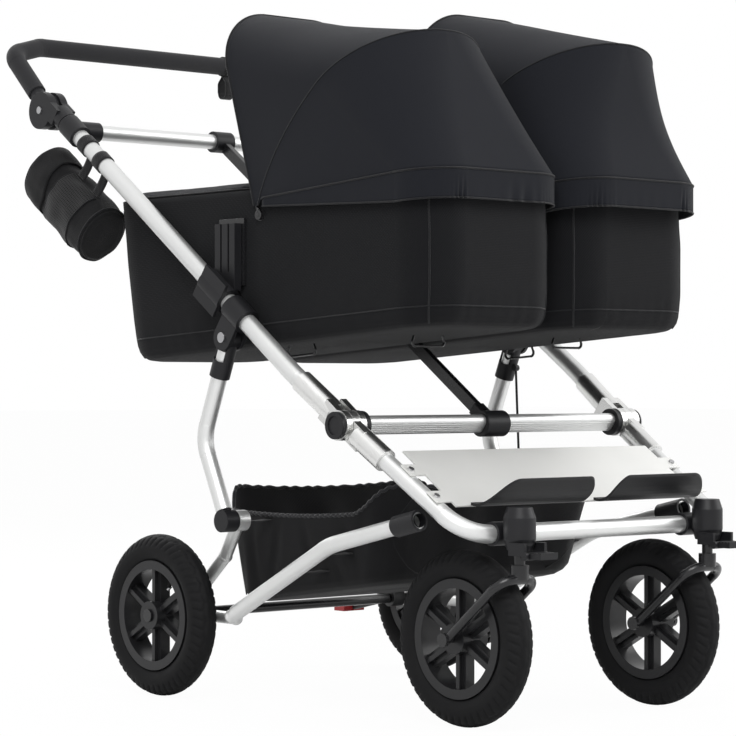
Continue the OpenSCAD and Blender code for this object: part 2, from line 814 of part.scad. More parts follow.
// Footplate lies on the front tube, with a riveted tab at each corner
plate_long = plate_bottom_v - plate_top_v;
plate_low = -front_d / 2 - seat_gap;
module footplate() {
  color(silver) on_front() {
    translate([-plate_half_w, plate_top_v, plate_low - plate_t])
      cube([2 * plate_half_w, plate_long, plate_t]);
    for (share = plate_tab_shares)
      translate([-plate_tab_x, plate_top_v + share * plate_long - plate_tab_w / 2, plate_low - plate_t])
        cube([2 * plate_tab_x, plate_tab_w, plate_t]);
  }
}
module footplate_rivets() {
  color(bright) both() on_front() for (share = plate_tab_shares)
    translate([plate_tab_x - rivet_d, plate_top_v + share * plate_long, plate_low - plate_t - rivet_t])
      cylinder(d = rivet_d, h = rivet_t);
}

// Footrests: scoops in front of the plate's lower edge
rest_root = front_at(plate_bottom_v, plate_low - plate_t - seat_gap);
function rest_curve(t, up) = [
  rest_root[0] - t * rest_deep, rest_root[1] + up + rest_rise * t * t - rest_dip * sin(180 * t)];
module footrests() {
  low = [for (i = [0 : rest_steps]) rest_curve(i / rest_steps, 0)];
  high = [for (i = [rest_steps : -1 : 0]) rest_curve(i / rest_steps, rest_t)];
  tip_y = rest_root[0] - rest_deep;
  color(black) both() difference() {
    in_side_plane(rest_in_x) linear_extrude(rest_out_x - rest_in_x) polygon(concat(low, high));
    translate([rest_out_x - rest_out_r, tip_y + rest_out_r, rest_root[1] - rest_rise])
      linear_extrude(3 * rest_rise) rest_corner(rest_out_r);
    translate([rest_in_x + rest_in_r, tip_y + rest_in_r, rest_root[1] - rest_rise])
      linear_extrude(3 * rest_rise) mirror([1, 0]) rest_corner(rest_in_r);
  }
}
module rest_corner(r) {
  difference() {
    translate([0, -r - rest_t]) square(r + rest_t);
    circle(r);
  }
}

lock_at = [caster_y - lock_pivot_reach, lock_z];
module caster_posts() {
  bar = front_bar_at;
  color(black) both() difference() {
    union() {
      translate([caster_x, caster_y, 0]) rotate_extrude() polygon([
        [0, post_low_z], [post_waist_d / 2, post_low_z],
        [post_d / 2, post_low_z + (post_high_z - post_low_z) / 4],
        [post_d / 2, post_high_z - (post_high_z - post_low_z) / 4],
        [post_waist_d / 2, post_high_z], [0, post_high_z]]);
      across(caster_x, bar[0], bar[1], post_sleeve_d, post_sleeve_len);
      translate([caster_x - post_waist_d / 4, caster_y, bar[1] - post_sleeve_d / 4])
        cube([post_waist_d / 2, bar[0] - caster_y, post_sleeve_d / 2]);
      for (face = [-1, 1])
        translate([
          caster_x + face * (lock_w / 2 + side_gap + lock_ear_t / 2) - lock_ear_t / 2,
          lock_at[0],
          0]) {
          translate([0, 0, lock_at[1]])
            cube([lock_ear_t, lock_pivot_reach, post_low_z + lock_barrel_d - lock_at[1]]);
          translate([lock_ear_t / 2, 0, 0]) across(0, 0, lock_at[1], lock_barrel_d, lock_ear_t);
        }
    }
    across(caster_x, bar[0], bar[1], front_d + 2 * run_gap, 2 * post_sleeve_len);
    across(caster_x, lock_at[0], lock_at[1], lock_pin_d + 2 * run_gap, 2 * lock_w);
    translate([caster_x, caster_y, 0]) cylinder(d = stem_d + 2 * run_gap, h = post_high_z - lock_barrel_d);
    translate([caster_x - lock_w / 2 - side_gap, lock_at[0] - lock_barrel_d, 0])
      cube([lock_w + 2 * side_gap, lock_barrel_d * 2, post_low_z + lock_barrel_d]);
  }
}

module swivel_lock(side) {
  tip_y = caster_y - lock_tip_reach - lock_barrel_d;
  color(black) scale_side(side) {
    across(caster_x, lock_at[0], lock_at[1], lock_barrel_d, lock_w);
    across(caster_x, lock_at[0], lock_at[1], lock_pin_d, lock_w + 2 * (side_gap + lock_ear_t));
    translate([caster_x - lock_w / 2, tip_y, lock_at[1] - lock_t / 2])
      cube([lock_w, lock_at[0] - tip_y, lock_t]);
    for (k = [0 : lock_rib_count - 1])
      translate([caster_x - lock_w / 2, tip_y + k * lock_rib_pitch, lock_at[1] + lock_t / 2])
        cube([lock_w, lock_rib_pitch / 2, lock_rib_t]);
  }
}
module swivel_lock_left() swivel_lock(1);
module swivel_lock_right() swivel_lock(-1);

// Forks: bent tube, crown, stem and axle
fork_top_z = axle_z + sqrt(pow(wheel_d / 2 + crown_gap + fork_d / 2, 2) - pow(caster_trail, 2));
fork_len = norm([caster_trail, fork_top_z - axle_z]);
module fork(side) {
  path = [[-fork_half, 0], [-fork_half, fork_len], [fork_half, fork_len], [fork_half, 0]];
  stem_top_z = post_high_z - lock_barrel_d - side_gap;
  color(black) on_caster(side) {
    translate([0, caster_trail, axle_z]) rotate([180 - atan2(fork_top_z - axle_z, caster_trail), 0, 0])
      bent_rod(path, fork_crown_r, fork_d);
    translate([0, 0, fork_top_z]) cylinder(d = crown_d, h = crown_top_z - fork_top_z);
    translate([0, 0, fork_top_z]) cylinder(d = stem_d, h = stem_top_z - fork_top_z);
    across(0, caster_trail, axle_z, front_axle_d, 2 * fork_half + fork_d + axle_nut_t);
    for (face = [-1, 1])
      across(face * (fork_half + fork_d / 2), caster_trail, axle_z, axle_nut_d, axle_nut_t);
  }
}
module fork_left() fork(1);
module fork_right() fork(-1);

// Wheels turn about a local X axis at the origin
module tyre() {
  color(rubber) rotate([0, 90, 0]) rotate_extrude() difference() {
    translate([wheel_d / 2 - tyre_w / 2, 0]) circle(d = tyre_w);
    translate([0, -tyre_w]) square([rim_d / 2, 2 * tyre_w]);
  }
}
module rim(bore_d) {
  color(black) rotate([0, 90, 0]) difference() {
    union() {
      rotate_extrude() translate([rim_d / 2 - rim_band, -rim_w / 2]) square([rim_band, rim_w]);
      translate([0, 0, -hub_w / 2]) cylinder(d = wheel_hub_d, h = hub_w);
      for (k = [0 : spoke_count - 1]) rotate([0, 0, 360 * k / spoke_count]) {
        translate([0, -spoke_w / 2, -spoke_t / 2]) cube([rim_d / 2 - rim_band / 2, spoke_w, spoke_t]);
        translate([0, -spoke_rib_w / 2, -spoke_rib_t / 2])
          cube([rim_d / 2 - rim_band / 2, spoke_rib_w, spoke_rib_t]);
      }
    }
    cylinder(d = bore_d + 2 * run_gap, h = 2 * hub_w, center = true);
  }
}
module at_front_wheel(side) on_caster(side) translate([0, caster_trail, axle_z]) children();
module at_rear_wheel(side) translate([side * rear_wheel_x, axle_at[0], axle_at[1]]) children();
module front_tyre_left() at_front_wheel(1) tyre();
module front_tyre_right() at_front_wheel(-1) tyre();
module front_rim_left() at_front_wheel(1) rim(front_axle_d);
module front_rim_right() at_front_wheel(-1) rim(front_axle_d);
module rear_tyre_left() at_rear_wheel(1) tyre();
module rear_tyre_right() at_rear_wheel(-1) tyre();
module rear_rim_left() at_rear_wheel(1) rim(stub_d);
module rear_rim_right() at_rear_wheel(-1) rim(stub_d);

// Rear legs
leg_dir = unit2(kink_at - pivot_at);
module rear_leg(side) {
  start = pivot_at + leg_dir * (clamp_plate_w / 2 + side_gap);
  stop = foot_at + unit2(kink_at - foot_at) * foot_eye_d / 2;
  color(silver) scale_side(side) in_side_plane(push_x)
    bent_tube([start, kink_at, stop], leg_kink_r, leg_d, tube_wall);
}
module rear_leg_left() rear_leg(1);
module rear_leg_right() rear_leg(-1);

cable_off = (cable_lug_d - overrun) / 2;
cable_top = pivot_at + leg_dir * leg_sleeve_len * cable_top_share
  + [leg_dir[1], -leg_dir[0]] * (leg_sleeve_d / 2 + cable_off);
cable_foot = foot_at - [foot_eye_d / 2 + cable_off, 0];
module leg_sleeves() {
  pin_len = push_x - leg_d / 2 - link_foot_x + link_d / 2;
  color(black) {
    both() {
      difference() {
        union() {
          across(push_x, pivot_at[0], pivot_at[1], leg_lug_d, leg_lug_w);
          in_side_plane(push_x) bent_rod([pivot_at, pivot_at + leg_dir * leg_sleeve_len], 0, leg_sleeve_d);
        }
        across(push_x, pivot_at[0], pivot_at[1], leg_pin_d + 2 * run_gap, 2 * leg_lug_w);
        in_side_plane(push_x)
          bent_rod([pivot_at + leg_dir * (leg_lug_d - overrun) / 2, kink_at], 0, leg_d + 2 * run_gap);
        for (face = [-1, 1])
          across(push_x + face * leg_lug_w, pivot_at[0], pivot_at[1], leg_lug_d + clamp_plate_w, leg_lug_w);
      }
      across(push_x, foot_at[0], foot_at[1], foot_eye_d, leg_d - 2 * side_gap);
      across(push_x - leg_d / 2 + side_gap - pin_len / 2, foot_at[0], foot_at[1], leg_pin_d, pin_len);
    }
    for (lug = [cable_top, cable_foot]) across(push_x, lug[0], lug[1], cable_lug_d, cable_lug_w);
  }
}

// Lock cable: drawn tight between its two lugs on the left leg
module lock_cable() {
  ease = unit2(cable_foot - cable_top) * (cable_lug_d / 2 + run_gap);
  color(black) in_side_plane(push_x) bent_rod([cable_top + ease, cable_foot - ease], 0, cable_d);
}

// Rear frame
module bottom_tubes() {
  path = [clamp_at, [bottom_bend_y, bottom_bend_z], [bottom_end_y, bottom_end_z]];
  color(silver) both() in_side_plane(bottom_x) bent_tube(path, bottom_bend_r, bottom_d, tube_wall);
}
module bottom_tube_clamps() {
  along = unit2([bottom_bend_y, bottom_bend_z] - clamp_at);
  color(black) both() in_side_plane(bottom_x)
    bent_tube([clamp_at - along * overrun, clamp_at + along * end_clamp_len], 0, end_clamp_d,
      (end_clamp_d - bottom_d) / 2 - run_gap);
}

// Each lower link runs from the leg foot to the axle, with the arm of the bottom tube
module lower_links() {
  foot = [link_foot_x, foot_at[0], foot_at[1]];
  axle = [link_axle_x, axle_at[0], axle_at[1]];
  knee = [
    link_knee_x,
    foot[1] + link_knee_share * (axle[1] - foot[1]),
    foot[2] + link_knee_share * (axle[2] - foot[2])];
  along = unit2([bottom_end_y - bottom_bend_y, bottom_end_z - bottom_bend_z]);
  end = [bottom_x, bottom_end_y, bottom_end_z];
  lead = end + arm_lead * [0, along[0], along[1]];
  turn = [arm_turn_x, arm_turn_y, axle_z];
  color(silver) both() difference() {
    union() {
      across(link_foot_x, foot[1], foot[2], foot_eye_d - overrun, link_d);
      rod(foot, knee, link_d);
      translate(knee) sphere(d = link_d + ball_grow);
      rod(knee, axle, link_d);
      across(link_axle_x, axle[1], axle[2], bracket_d, bracket_w);
      rod(end - arm_plug * [0, along[0], along[1]], lead, bottom_d - 2 * (tube_wall + run_gap) - bend_ease);
      translate(lead) sphere(d = arm_d + ball_grow);
      rod(lead, turn, arm_d);
      translate(turn) sphere(d = arm_d + ball_grow);
      rod(turn, [arm_turn_x, axle[1], axle[2]], arm_d);
    }
    across(link_foot_x, foot[1], foot[2], leg_pin_d + 2 * run_gap, 2 * link_d);
    across(link_axle_x, axle[1], axle[2], axle_d + 2 * run_gap, 2 * bracket_w);
  }
}

module rear_axle() {
  inner = link_axle_x + bracket_w / 2;
  outer = rear_wheel_x + hub_w / 2 + side_gap;
  color(black) {
    across(0, axle_at[0], axle_at[1], axle_d, 2 * inner);
    both() {
      across((inner + outer) / 2, axle_at[0], axle_at[1], stub_d, outer - inner);
      across(outer + axle_nut_t / 4, axle_at[0], axle_at[1], axle_nut_d, axle_nut_t / 2);
    }
  }
}

// Basket: open cup of cloth with folds, slack between its corners and drawn in towards its floor
basket_middle = [0, (basket_front_y + basket_rear_y) / 2];
function basket_ring(inset, share, grow_z) =
  let (
    tuck = basket_taper * (1 - share),
    ring = divided(round_box(-basket_half_x + inset + tuck / 2, basket_half_x - inset - tuck / 2,
      basket_front_y + inset + tuck, basket_rear_y - inset - tuck / 3, basket_corner_r)))
    [for (i = [0 : len(ring) - 1])
      let (
        p = ring[i],
        k = (p[1] - basket_front_y) / (basket_rear_y - basket_front_y),
        free = 1 - pow(2 * k - 1, 2) * pow(p[0] / basket_half_x, 2),
        low = basket_front_z + k * (basket_rear_z - basket_front_z),
        high = basket_rim_front_z + k * (basket_rim_rear_z - basket_rim_front_z) - basket_sag * free,
        loose = max(0, 1 - abs(p[0]) / (basket_half_x * basket_loose_share)),
        pull = basket_fold * loose * sin(180 * share) * (1 + sin(i * basket_fold_turn)) / 2,
        q = p - pull * unit2(p - basket_middle))
        [q[0], q[1], low + grow_z + share * (high - low)]];
module basket() {
  bottom = basket_corner_r / 2;
  outer = concat([basket_ring(bottom, 0, 0)], [for (share = basket_rows) basket_ring(0, share, 0)]);
  inner = [
    for (i = [len(basket_rows) - 1 : -1 : 0])
      basket_ring(basket_wall, basket_rows[i], i == 0 ? basket_wall : 0)];
  color(cot_cloth) loft(concat(outer, inner, [basket_ring(bottom, 0, basket_wall)]));
}

// Straps from the basket's sides to the bottom tubes and the leg feet
function basket_side(y, z) =
  let (
    k = (y - basket_front_y) / (basket_rear_y - basket_front_y),
    low = basket_front_z + k * (basket_rear_z - basket_front_z),
    slack = basket_sag * (1 - pow(2 * k - 1, 2)),
    high = basket_rim_front_z + k * (basket_rim_rear_z - basket_rim_front_z) - slack)
    basket_half_x - basket_taper * (1 - (z - low) / (high - low)) / 2;
function bottom_tube_z(y) =
  bottom_bend_z + (y - bottom_bend_y) * (bottom_end_z - bottom_bend_z) / (bottom_end_y - bottom_bend_y);
module basket_straps() {
  tube_ends = [for (y = strap_ys) [y, bottom_tube_z(y), bottom_x - bottom_d / 2]];
  ends = concat(tube_ends, [[foot_at[0] - strap_w / 2, foot_at[1], link_foot_x - link_d / 2]]);
  color(black) both() for (e = ends) {
    from = basket_side(e[0], e[1]) + seat_gap;
    translate([from, e[0] - strap_w / 2, e[1] - strap_t / 2]) cube([e[2] - run_gap - from, strap_w, strap_t]);
  }
}

module brake_pedal() {
  tip = [pedal_x, pedal_tip_y, pedal_tip_z];
  color(black) difference() {
    union() {
      across(pedal_x, axle_at[0], axle_at[1], pedal_collar_d, pedal_collar_w);
      rod([pedal_x, axle_at[0], axle_at[1]], tip, pedal_arm_d);
    }
    across(pedal_x, axle_at[0], axle_at[1], axle_d + 2 * run_gap, 2 * pedal_collar_w);
  }
  color(red) translate([pedal_x - pedal_pad_w / 2, pedal_tip_y, pedal_tip_z - pedal_pad_t / 2])
    cube([pedal_pad_w, pedal_pad_l, pedal_pad_t]);
}

// Carrycots, drawn on the left side
cot_slope = cot_nose_lift / (cot_rear_y - cot_front_y);
function cot_lift(y) = cot_slope * (cot_rear_y - y);
function cot_ring(inset, z, radius_loss) =
  let (
    back = cot_rear_slant * (cot_rim_z - z) / (cot_rim_z - cot_floor_z),
    ring = round_box(cot_in_x + inset, cot_out_x - inset, cot_front_y + inset, cot_rear_y - inset - back,
      cot_corner_r - radius_loss),
    fade = (cot_rim_z - z) / (cot_rim_z - cot_floor_z))
    [for (p = ring) [p[0], p[1], z + cot_lift(p[1]) * fade]];
module cot_tub(side) {
  waist_z = (cot_floor_z + cot_rim_z) / 2;
  roll_z = cot_floor_z + cot_roll;
  low = cot_roll * cot_low_share;
  turn = cot_roll * cot_turn_share;
  outer = [
    cot_ring(low, cot_floor_z, low), cot_ring(turn, cot_floor_z + cot_roll * cot_turn_rise_share, turn),
    cot_ring(0, roll_z, 0), cot_ring(0, waist_z, 0), cot_ring(0, cot_rim_z, 0)];
  inner = [
    cot_ring(cot_wall, cot_rim_z, cot_wall), cot_ring(cot_wall, waist_z, cot_wall),
    cot_ring(cot_wall, roll_z, cot_wall), cot_ring(cot_roll, cot_floor_z + cot_floor_t, cot_roll)];
  color(cot_cloth) scale_side(side) loft(concat(outer, inner));
}
module cot_tub_left() cot_tub(1);
module cot_tub_right() cot_tub(-1);

module cot_mattress(side) {
  base = cot_floor_z + cot_floor_t + mattress_rest;
  edge = cot_wall + mattress_gap;
  top = edge + mattress_top_in;
  color(silver) scale_side(side) loft([
    cot_ring(cot_roll, base, cot_roll), cot_ring(edge, base + mattress_t * mattress_shares[0], edge),
    cot_ring(edge, base + mattress_t * mattress_shares[1], edge), cot_ring(top, base + mattress_t, top)]);
}
module cot_mattress_left() cot_mattress(1);
module cot_mattress_right() cot_mattress(-1);

function apron_ring(inset, z) =
  let (
    ring = divided(round_box(cot_in_x + inset, cot_out_x - inset, apron_front_y + inset,
      cot_rear_y - inset, cot_corner_r - inset)),
    middle = [(cot_in_x + cot_out_x) / 2, (apron_front_y + cot_rear_y) / 2],
    half = [(cot_out_x - cot_in_x) / 2, (cot_rear_y - apron_front_y) / 2])
    [for (p = ring)
      let (
        k = [(p[0] - middle[0]) / half[0], (p[1] - middle[1]) / half[1]],
        draw = apron_draw * (1 - pow(k[0] * k[1], 2)))
        [p[0] - draw * k[0], p[1] - draw * k[1], z]];
module cot_apron(side) {
  base = cot_rim_z + seat_gap;
  color(canopy_cloth) scale_side(side) loft([
    apron_ring(0, base), apron_ring(0, base + apron_t * apron_shares[0]),
    apron_ring(apron_shoulder, base + apron_t * apron_shares[1]), apron_ring(apron_crown, base + apron_t)]);
}
module cot_apron_left() cot_apron(1);
module cot_apron_right() cot_apron(-1);

// Fittings: adapter bracket, canopy pivots and wire loops under the floor
wire_path = [
  [wire_r - wire_w / 2, 0], [-wire_w / 2, -wire_fall], [wire_w / 2, -wire_fall], [wire_w / 2 - wire_r, 0]];
module bow_pivot(wall_x, out) {
  flange_at = wall_x + out * (run_gap + bow_flange_t / 2);
  pin_len = bow_off + bow_eye_w / 2 + seat_gap;
  across(flange_at, bow_y, bow_z, bow_flange_d, bow_flange_t);
  across(wall_x + out * (run_gap + pin_len / 2), bow_y, bow_z, bow_pin_d, pin_len);
}
module cot_fittings(side) {
  color(black) scale_side(side) {
    translate([cot_out_x + run_gap, adapter_y - bracket_half_y, bracket_low_z])
      cube([bracket_t - run_gap, 2 * bracket_half_y, bracket_high_z - bracket_low_z]);
    bow_pivot(cot_in_x, -1);
    bow_pivot(cot_out_x, 1);
    in_side_plane(wire_side_x) translate([wire_side_y, cot_floor_z + cot_lift(wire_side_y) - wire_d / 2])
      rotate([0, 0, -atan(cot_slope)]) bent_rod(wire_path, wire_r, wire_d);
    translate([wire_front_x, wire_front_y, cot_floor_z + cot_lift(wire_front_y) - wire_d / 2])
      rotate([90, 0, 0]) bent_rod(wire_path, wire_r, wire_d);
  }
}
module cot_fittings_left() cot_fittings(1);
module cot_fittings_right() cot_fittings(-1);

// Canopy: taut from the hem to the middle bow and from there to the back bow
canopy_half = (canopy_out_x - canopy_in_x) / 2;
canopy_mid_x = (canopy_out_x + canopy_in_x) / 2;
canopy_back_h = bow_len + bow_d / 2 + canopy_gap + canopy_t;
function arch_flat(i, half, high, r) =
  let (
    k = min(i, canopy_across - i),
    way = 2 * i <= canopy_across ? 1 : -1,
    bend_end = canopy_side_steps + canopy_corner_steps,
    a = 90 * (k - canopy_side_steps) / canopy_corner_steps)
    k <= canopy_side_steps
    ? [way * half, canopy_root + (high - r - canopy_root) * k / canopy_side_steps]
    : k <= bend_end
    ? [way * (half - r + r * cos(a)), high - r + r * sin(a)]
    : [way * (half - r) * (canopy_across / 2 - k) / (canopy_across / 2 - bend_end), high];
function arch(i, root_tilt, top_tilt, high, r, thin) =
  let (
    q = arch_flat(i, canopy_half - thin, high - thin, r - thin),
    tilt = root_tilt + (top_tilt - root_tilt) * pow(q[1] / high, canopy_mid_curve))
    [canopy_mid_x + q[0], bow_y - q[1] * sin(tilt), bow_z + q[1] * cos(tilt)];
function pick(pair, side) = pair[side > 0 ? 0 : 1];
function hem_arch(side, i, thin) =
  let (tilt = pick(canopy_hem_tilts, side), reach = hem_reach + pick(canopy_hem_outs, side))
    arch(i, tilt, tilt, reach / sin(tilt), canopy_hem_r, thin) + [0, 0, pick(canopy_hem_lifts, side)];
function mid_arch(side, i, thin) =
  arch(i, pick(canopy_mid_root_tilts, side), pick(canopy_mid_tilts, side), pick(canopy_mid_highs, side),
    canopy_mid_r, thin);
function back_arch(side, i, thin) =
  let (tilt = -pick(bow_backs, side)) arch(i, tilt, tilt, canopy_back_h, bow_r, thin);
function canopy_point(side, v, i, thin) =
  let (
    roof = v > 1,
    k = roof ? v - 1 : max(v, 0),
    from = roof ? mid_arch(side, i, thin) : hem_arch(side, i, thin),
    to = roof ? back_arch(side, i, thin) : mid_arch(side, i, thin),
    p = from + k * (to - from),
    sag = pick(roof ? canopy_roof_sag_shares : canopy_front_sag_shares, side) * sin(180 * k),
    fall = min(1, min(i, canopy_across - i) / canopy_side_steps),
    drop = v < 0 ? canopy_valance * (canopy_fade_share + (1 - canopy_fade_share) * fall) : 0)
    [p[0], p[1] + sag * (bow_y - p[1]), p[2] + sag * (bow_z - p[2]) - drop];
module canopy(side) {
  n = canopy_across;
  rings = [
    for (v = canopy_rows)
      concat(
        [for (i = [0 : n]) canopy_point(side, v, i, canopy_t)],
        [for (i = [n : -1 : 0]) canopy_point(side, v, i, 0)])];
  color(canopy_cloth) scale_side(side) loft(rings, true);
}
module canopy_left() canopy(1);
module canopy_right() canopy(-1);

module canopy_bow(side) {
  half = (bow_out_x - bow_in_x) / 2;
  path = [[-half, 0], [-half, bow_len], [half, bow_len], [half, 0]];
  color(silver) scale_side(side) translate([(bow_out_x + bow_in_x) / 2, bow_y, bow_z])
    rotate([90 - pick(bow_backs, side), 0, 0]) difference() {
      union() {
        bent_rod(path, bow_r, bow_d);
        for (end = [-1, 1]) across(end * half, 0, 0, bow_eye_d, bow_eye_w);
      }
      for (end = [-1, 1]) across(end * half, 0, 0, bow_pin_d + 2 * run_gap, 2 * bow_eye_w);
    }
}
module canopy_bow_left() canopy_bow(1);
module canopy_bow_right() canopy_bow(-1);

push_tube_left();
push_tube_right();
upper_hinge_sleeves();
frame_pins();
hinge_caps();
front_crossbar();
crossbar_fittings();
centre_rail();
rear_crossbar();
leg_clamps();
cot_adapters();
handle_hubs();
bottle_bag();
bag_straps();
handle_tube();
handle_grip();
wrist_strap();
handle_button_left();
handle_button_right();
front_tube();
lower_hinge_sleeves();
footplate();
footplate_rivets();
footrests();
caster_posts();
swivel_lock_left();
swivel_lock_right();
fork_left();
fork_right();
front_tyre_left();
front_tyre_right();
front_rim_left();
front_rim_right();
rear_leg_left();
rear_leg_right();
leg_sleeves();
lock_cable();
bottom_tubes();
bottom_tube_clamps();
lower_links();
rear_axle();
basket();
basket_straps();
brake_pedal();
rear_tyre_left();
rear_tyre_right();
rear_rim_left();
rear_rim_right();
cot_tub_left();
cot_mattress_left();
cot_apron_left();
cot_fittings_left();
canopy_left();
canopy_bow_left();
cot_tub_right();
cot_mattress_right();
cot_apron_right();
cot_fittings_right();
canopy_right();
canopy_bow_right();
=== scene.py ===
import bmesh
import bpy
import math
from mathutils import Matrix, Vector, noise


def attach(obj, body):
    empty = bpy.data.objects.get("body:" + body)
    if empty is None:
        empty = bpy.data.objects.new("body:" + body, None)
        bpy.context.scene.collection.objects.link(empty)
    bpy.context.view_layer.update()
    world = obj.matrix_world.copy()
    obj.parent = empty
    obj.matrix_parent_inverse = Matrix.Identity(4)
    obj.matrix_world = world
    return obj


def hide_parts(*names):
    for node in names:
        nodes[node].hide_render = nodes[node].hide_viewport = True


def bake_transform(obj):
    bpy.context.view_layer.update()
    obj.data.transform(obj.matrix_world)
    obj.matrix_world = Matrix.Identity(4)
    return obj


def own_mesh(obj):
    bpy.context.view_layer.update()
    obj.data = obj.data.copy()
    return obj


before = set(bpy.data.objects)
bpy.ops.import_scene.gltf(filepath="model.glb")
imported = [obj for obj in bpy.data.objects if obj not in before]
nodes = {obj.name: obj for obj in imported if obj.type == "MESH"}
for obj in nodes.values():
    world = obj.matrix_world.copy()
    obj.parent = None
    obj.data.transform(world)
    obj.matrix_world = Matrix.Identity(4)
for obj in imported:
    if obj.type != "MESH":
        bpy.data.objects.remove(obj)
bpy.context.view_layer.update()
scene = bpy.context.scene
scene.view_settings.view_transform = "Standard"
print("frame loaded with", len(nodes), "nodes")

sides = {"left": 1, "right": -1}


# Camera at the photograph's angle
camera = {"place": (-2.7732, -3.1237, 0.4867), "turn": (90.4, 0.0, -41.6), "lens": 127.5, "sensor": 36.0}
lensData = bpy.data.cameras.new("photoLens")
lensData.lens = camera["lens"]
lensData.sensor_width = camera["sensor"]
eye = bpy.data.objects.new("photoCamera", lensData)
eye.location = camera["place"]
eye.rotation_euler = [math.radians(a) for a in camera["turn"]]
scene.collection.objects.link(eye)
scene.camera = eye


# Shader sums: a wire is a socket that can be added, multiplied and so on
class Wire:
    def __init__(self, finish, socket):
        self.finish = finish
        self.socket = socket

    def sum(self, kind, other, swap=False):
        pair = (other, self) if swap else (self, other)
        return self.finish.add("ShaderNodeMath", {"operation": kind}, {0: pair[0], 1: pair[1]})

    def __add__(self, other):
        return self.sum("ADD", other)

    def __radd__(self, other):
        return self.sum("ADD", other, True)

    def __sub__(self, other):
        return self.sum("SUBTRACT", other)

    def __rsub__(self, other):
        return self.sum("SUBTRACT", other, True)

    def __mul__(self, other):
        return self.sum("MULTIPLY", other)

    def __rmul__(self, other):
        return self.sum("MULTIPLY", other, True)

    def __gt__(self, other):
        return self.sum("GREATER_THAN", other)


class Finish:
    def __init__(self, name, fixed):
        self.material = bpy.data.materials.new(name)
        self.material.use_nodes = True
        self.tree = self.material.node_tree
        self.skin = self.tree.nodes["Principled BSDF"]
        for socket, value in fixed.items():
            self.skin.inputs[socket].default_value = value
        where = self.tree.nodes.new("ShaderNodeTexCoord")
        self.place = Wire(self, where.outputs["Object"])
        self.flat = Wire(self, where.outputs["UV"])

    def join(self, slot, value):
        if isinstance(value, Wire):
            self.tree.links.new(value.socket, slot)
        else:
            slot.default_value = value

    def add(self, kind, settings, links, out=0):
        node = self.tree.nodes.new(kind)
        for key, value in settings.items():
            setattr(node, key, value)
        for key, value in links.items():
            self.join(node.inputs[key], value)
        return Wire(self, node.outputs[out])

    def cloud(self, scale, detail=2.0):  # soft noise about 0.5
        return self.add("ShaderNodeTexNoise", {}, {"Vector": self.place, "Scale": scale, "Detail": detail})

    def mix(self, share, first, second):
        return self.add("ShaderNodeMix", {"data_type": "RGBA"}, {0: share, 6: first, 7: second}, 2)

    def part(self, source, axis):
        return self.add("ShaderNodeSeparateXYZ", {}, {0: source}, axis)

    def wave(self, value):
        return self.add("ShaderNodeMath", {"operation": "SINE"}, {0: value})

    def bump(self, height, strength, depth, edge=0.0):
        links = {"Height": height, "Strength": strength, "Distance": depth}
        if edge:
            links["Normal"] = self.add("ShaderNodeBevel", {"samples": 4}, {"Radius": edge})
        self.feed("Normal", self.add("ShaderNodeBump", {}, links))

    def feed(self, socket, value):
        self.join(self.skin.inputs[socket], value)


def tint(colour, share=1.0):
    return tuple(min(1.0, c * share) for c in colour) + (1.0,)


def metalFinish(name, colour, rough, fleck, metal=1.0, coat=0.0):
    f = Finish(name, {"Metallic": metal, "Coat Weight": coat, "Coat Roughness": 0.12})
    patch, speck = f.cloud(9.0, 3.0), f.cloud(1400.0)
    f.feed("Base Color", f.mix(patch, tint(colour, 0.93), tint(colour, 1.04)))
    f.feed("Roughness", rough + 0.1 * (patch - 0.5) + fleck * (speck - 0.5))
    f.bump(speck, 0.06, 0.0003, 0.0007)
    return f.material


def brushedFinish(name, colour, rough):
    f = Finish(name, {"Metallic": 1.0, "Anisotropic": 0.4})
    drawn = f.add("ShaderNodeMapping", {}, {"Vector": f.place, "Scale": (1800.0, 60.0, 60.0)})
    line = f.add("ShaderNodeTexNoise", {}, {"Vector": drawn, "Scale": 1.0, "Detail": 3.0})
    patch = f.cloud(25.0)
    f.feed("Base Color", f.mix(line, tint(colour, 0.9), tint(colour, 1.03)))
    f.feed("Roughness", rough + 0.14 * (line - 0.5) + 0.06 * (patch - 0.5))
    f.bump(line, 0.08, 0.0002, 0.0008)
    return f.material


def plasticFinish(name, colour, rough, grain=0.1, coat=0.0, edge=0.0008):
    f = Finish(name, {"Coat Weight": coat, "Coat Roughness": 0.2, "Specular IOR Level": 0.24})
    patch, speck = f.cloud(18.0, 4.0), f.cloud(1100.0, 1.0)
    f.feed("Base Color", f.mix(patch, tint(colour, 0.8), tint(colour, 1.25)))
    f.feed("Roughness", rough + 0.12 * (patch - 0.5) + 0.1 * (speck - 0.5))
    f.bump(speck, grain, 0.0004, edge)
    return f.material


def pedalFinish(name, colour, padColour, padFrom):  # the foot pad is the end beyond padFrom
    f = Finish(name, {})
    patch, speck = f.cloud(30.0, 3.0), f.cloud(1100.0, 1.0)
    pad = f.part(f.place, 1) > padFrom
    body = f.mix(patch, tint(colour, 0.8), tint(colour, 1.2))
    f.feed("Base Color", f.mix(pad, body, f.mix(patch, tint(padColour, 0.85), tint(padColour, 1.1))))
    f.feed("Roughness", 0.36 + 0.12 * (patch - 0.5) + 0.05 * pad)
    f.bump(speck, 0.1, 0.0004, 0.0012)
    return f.material


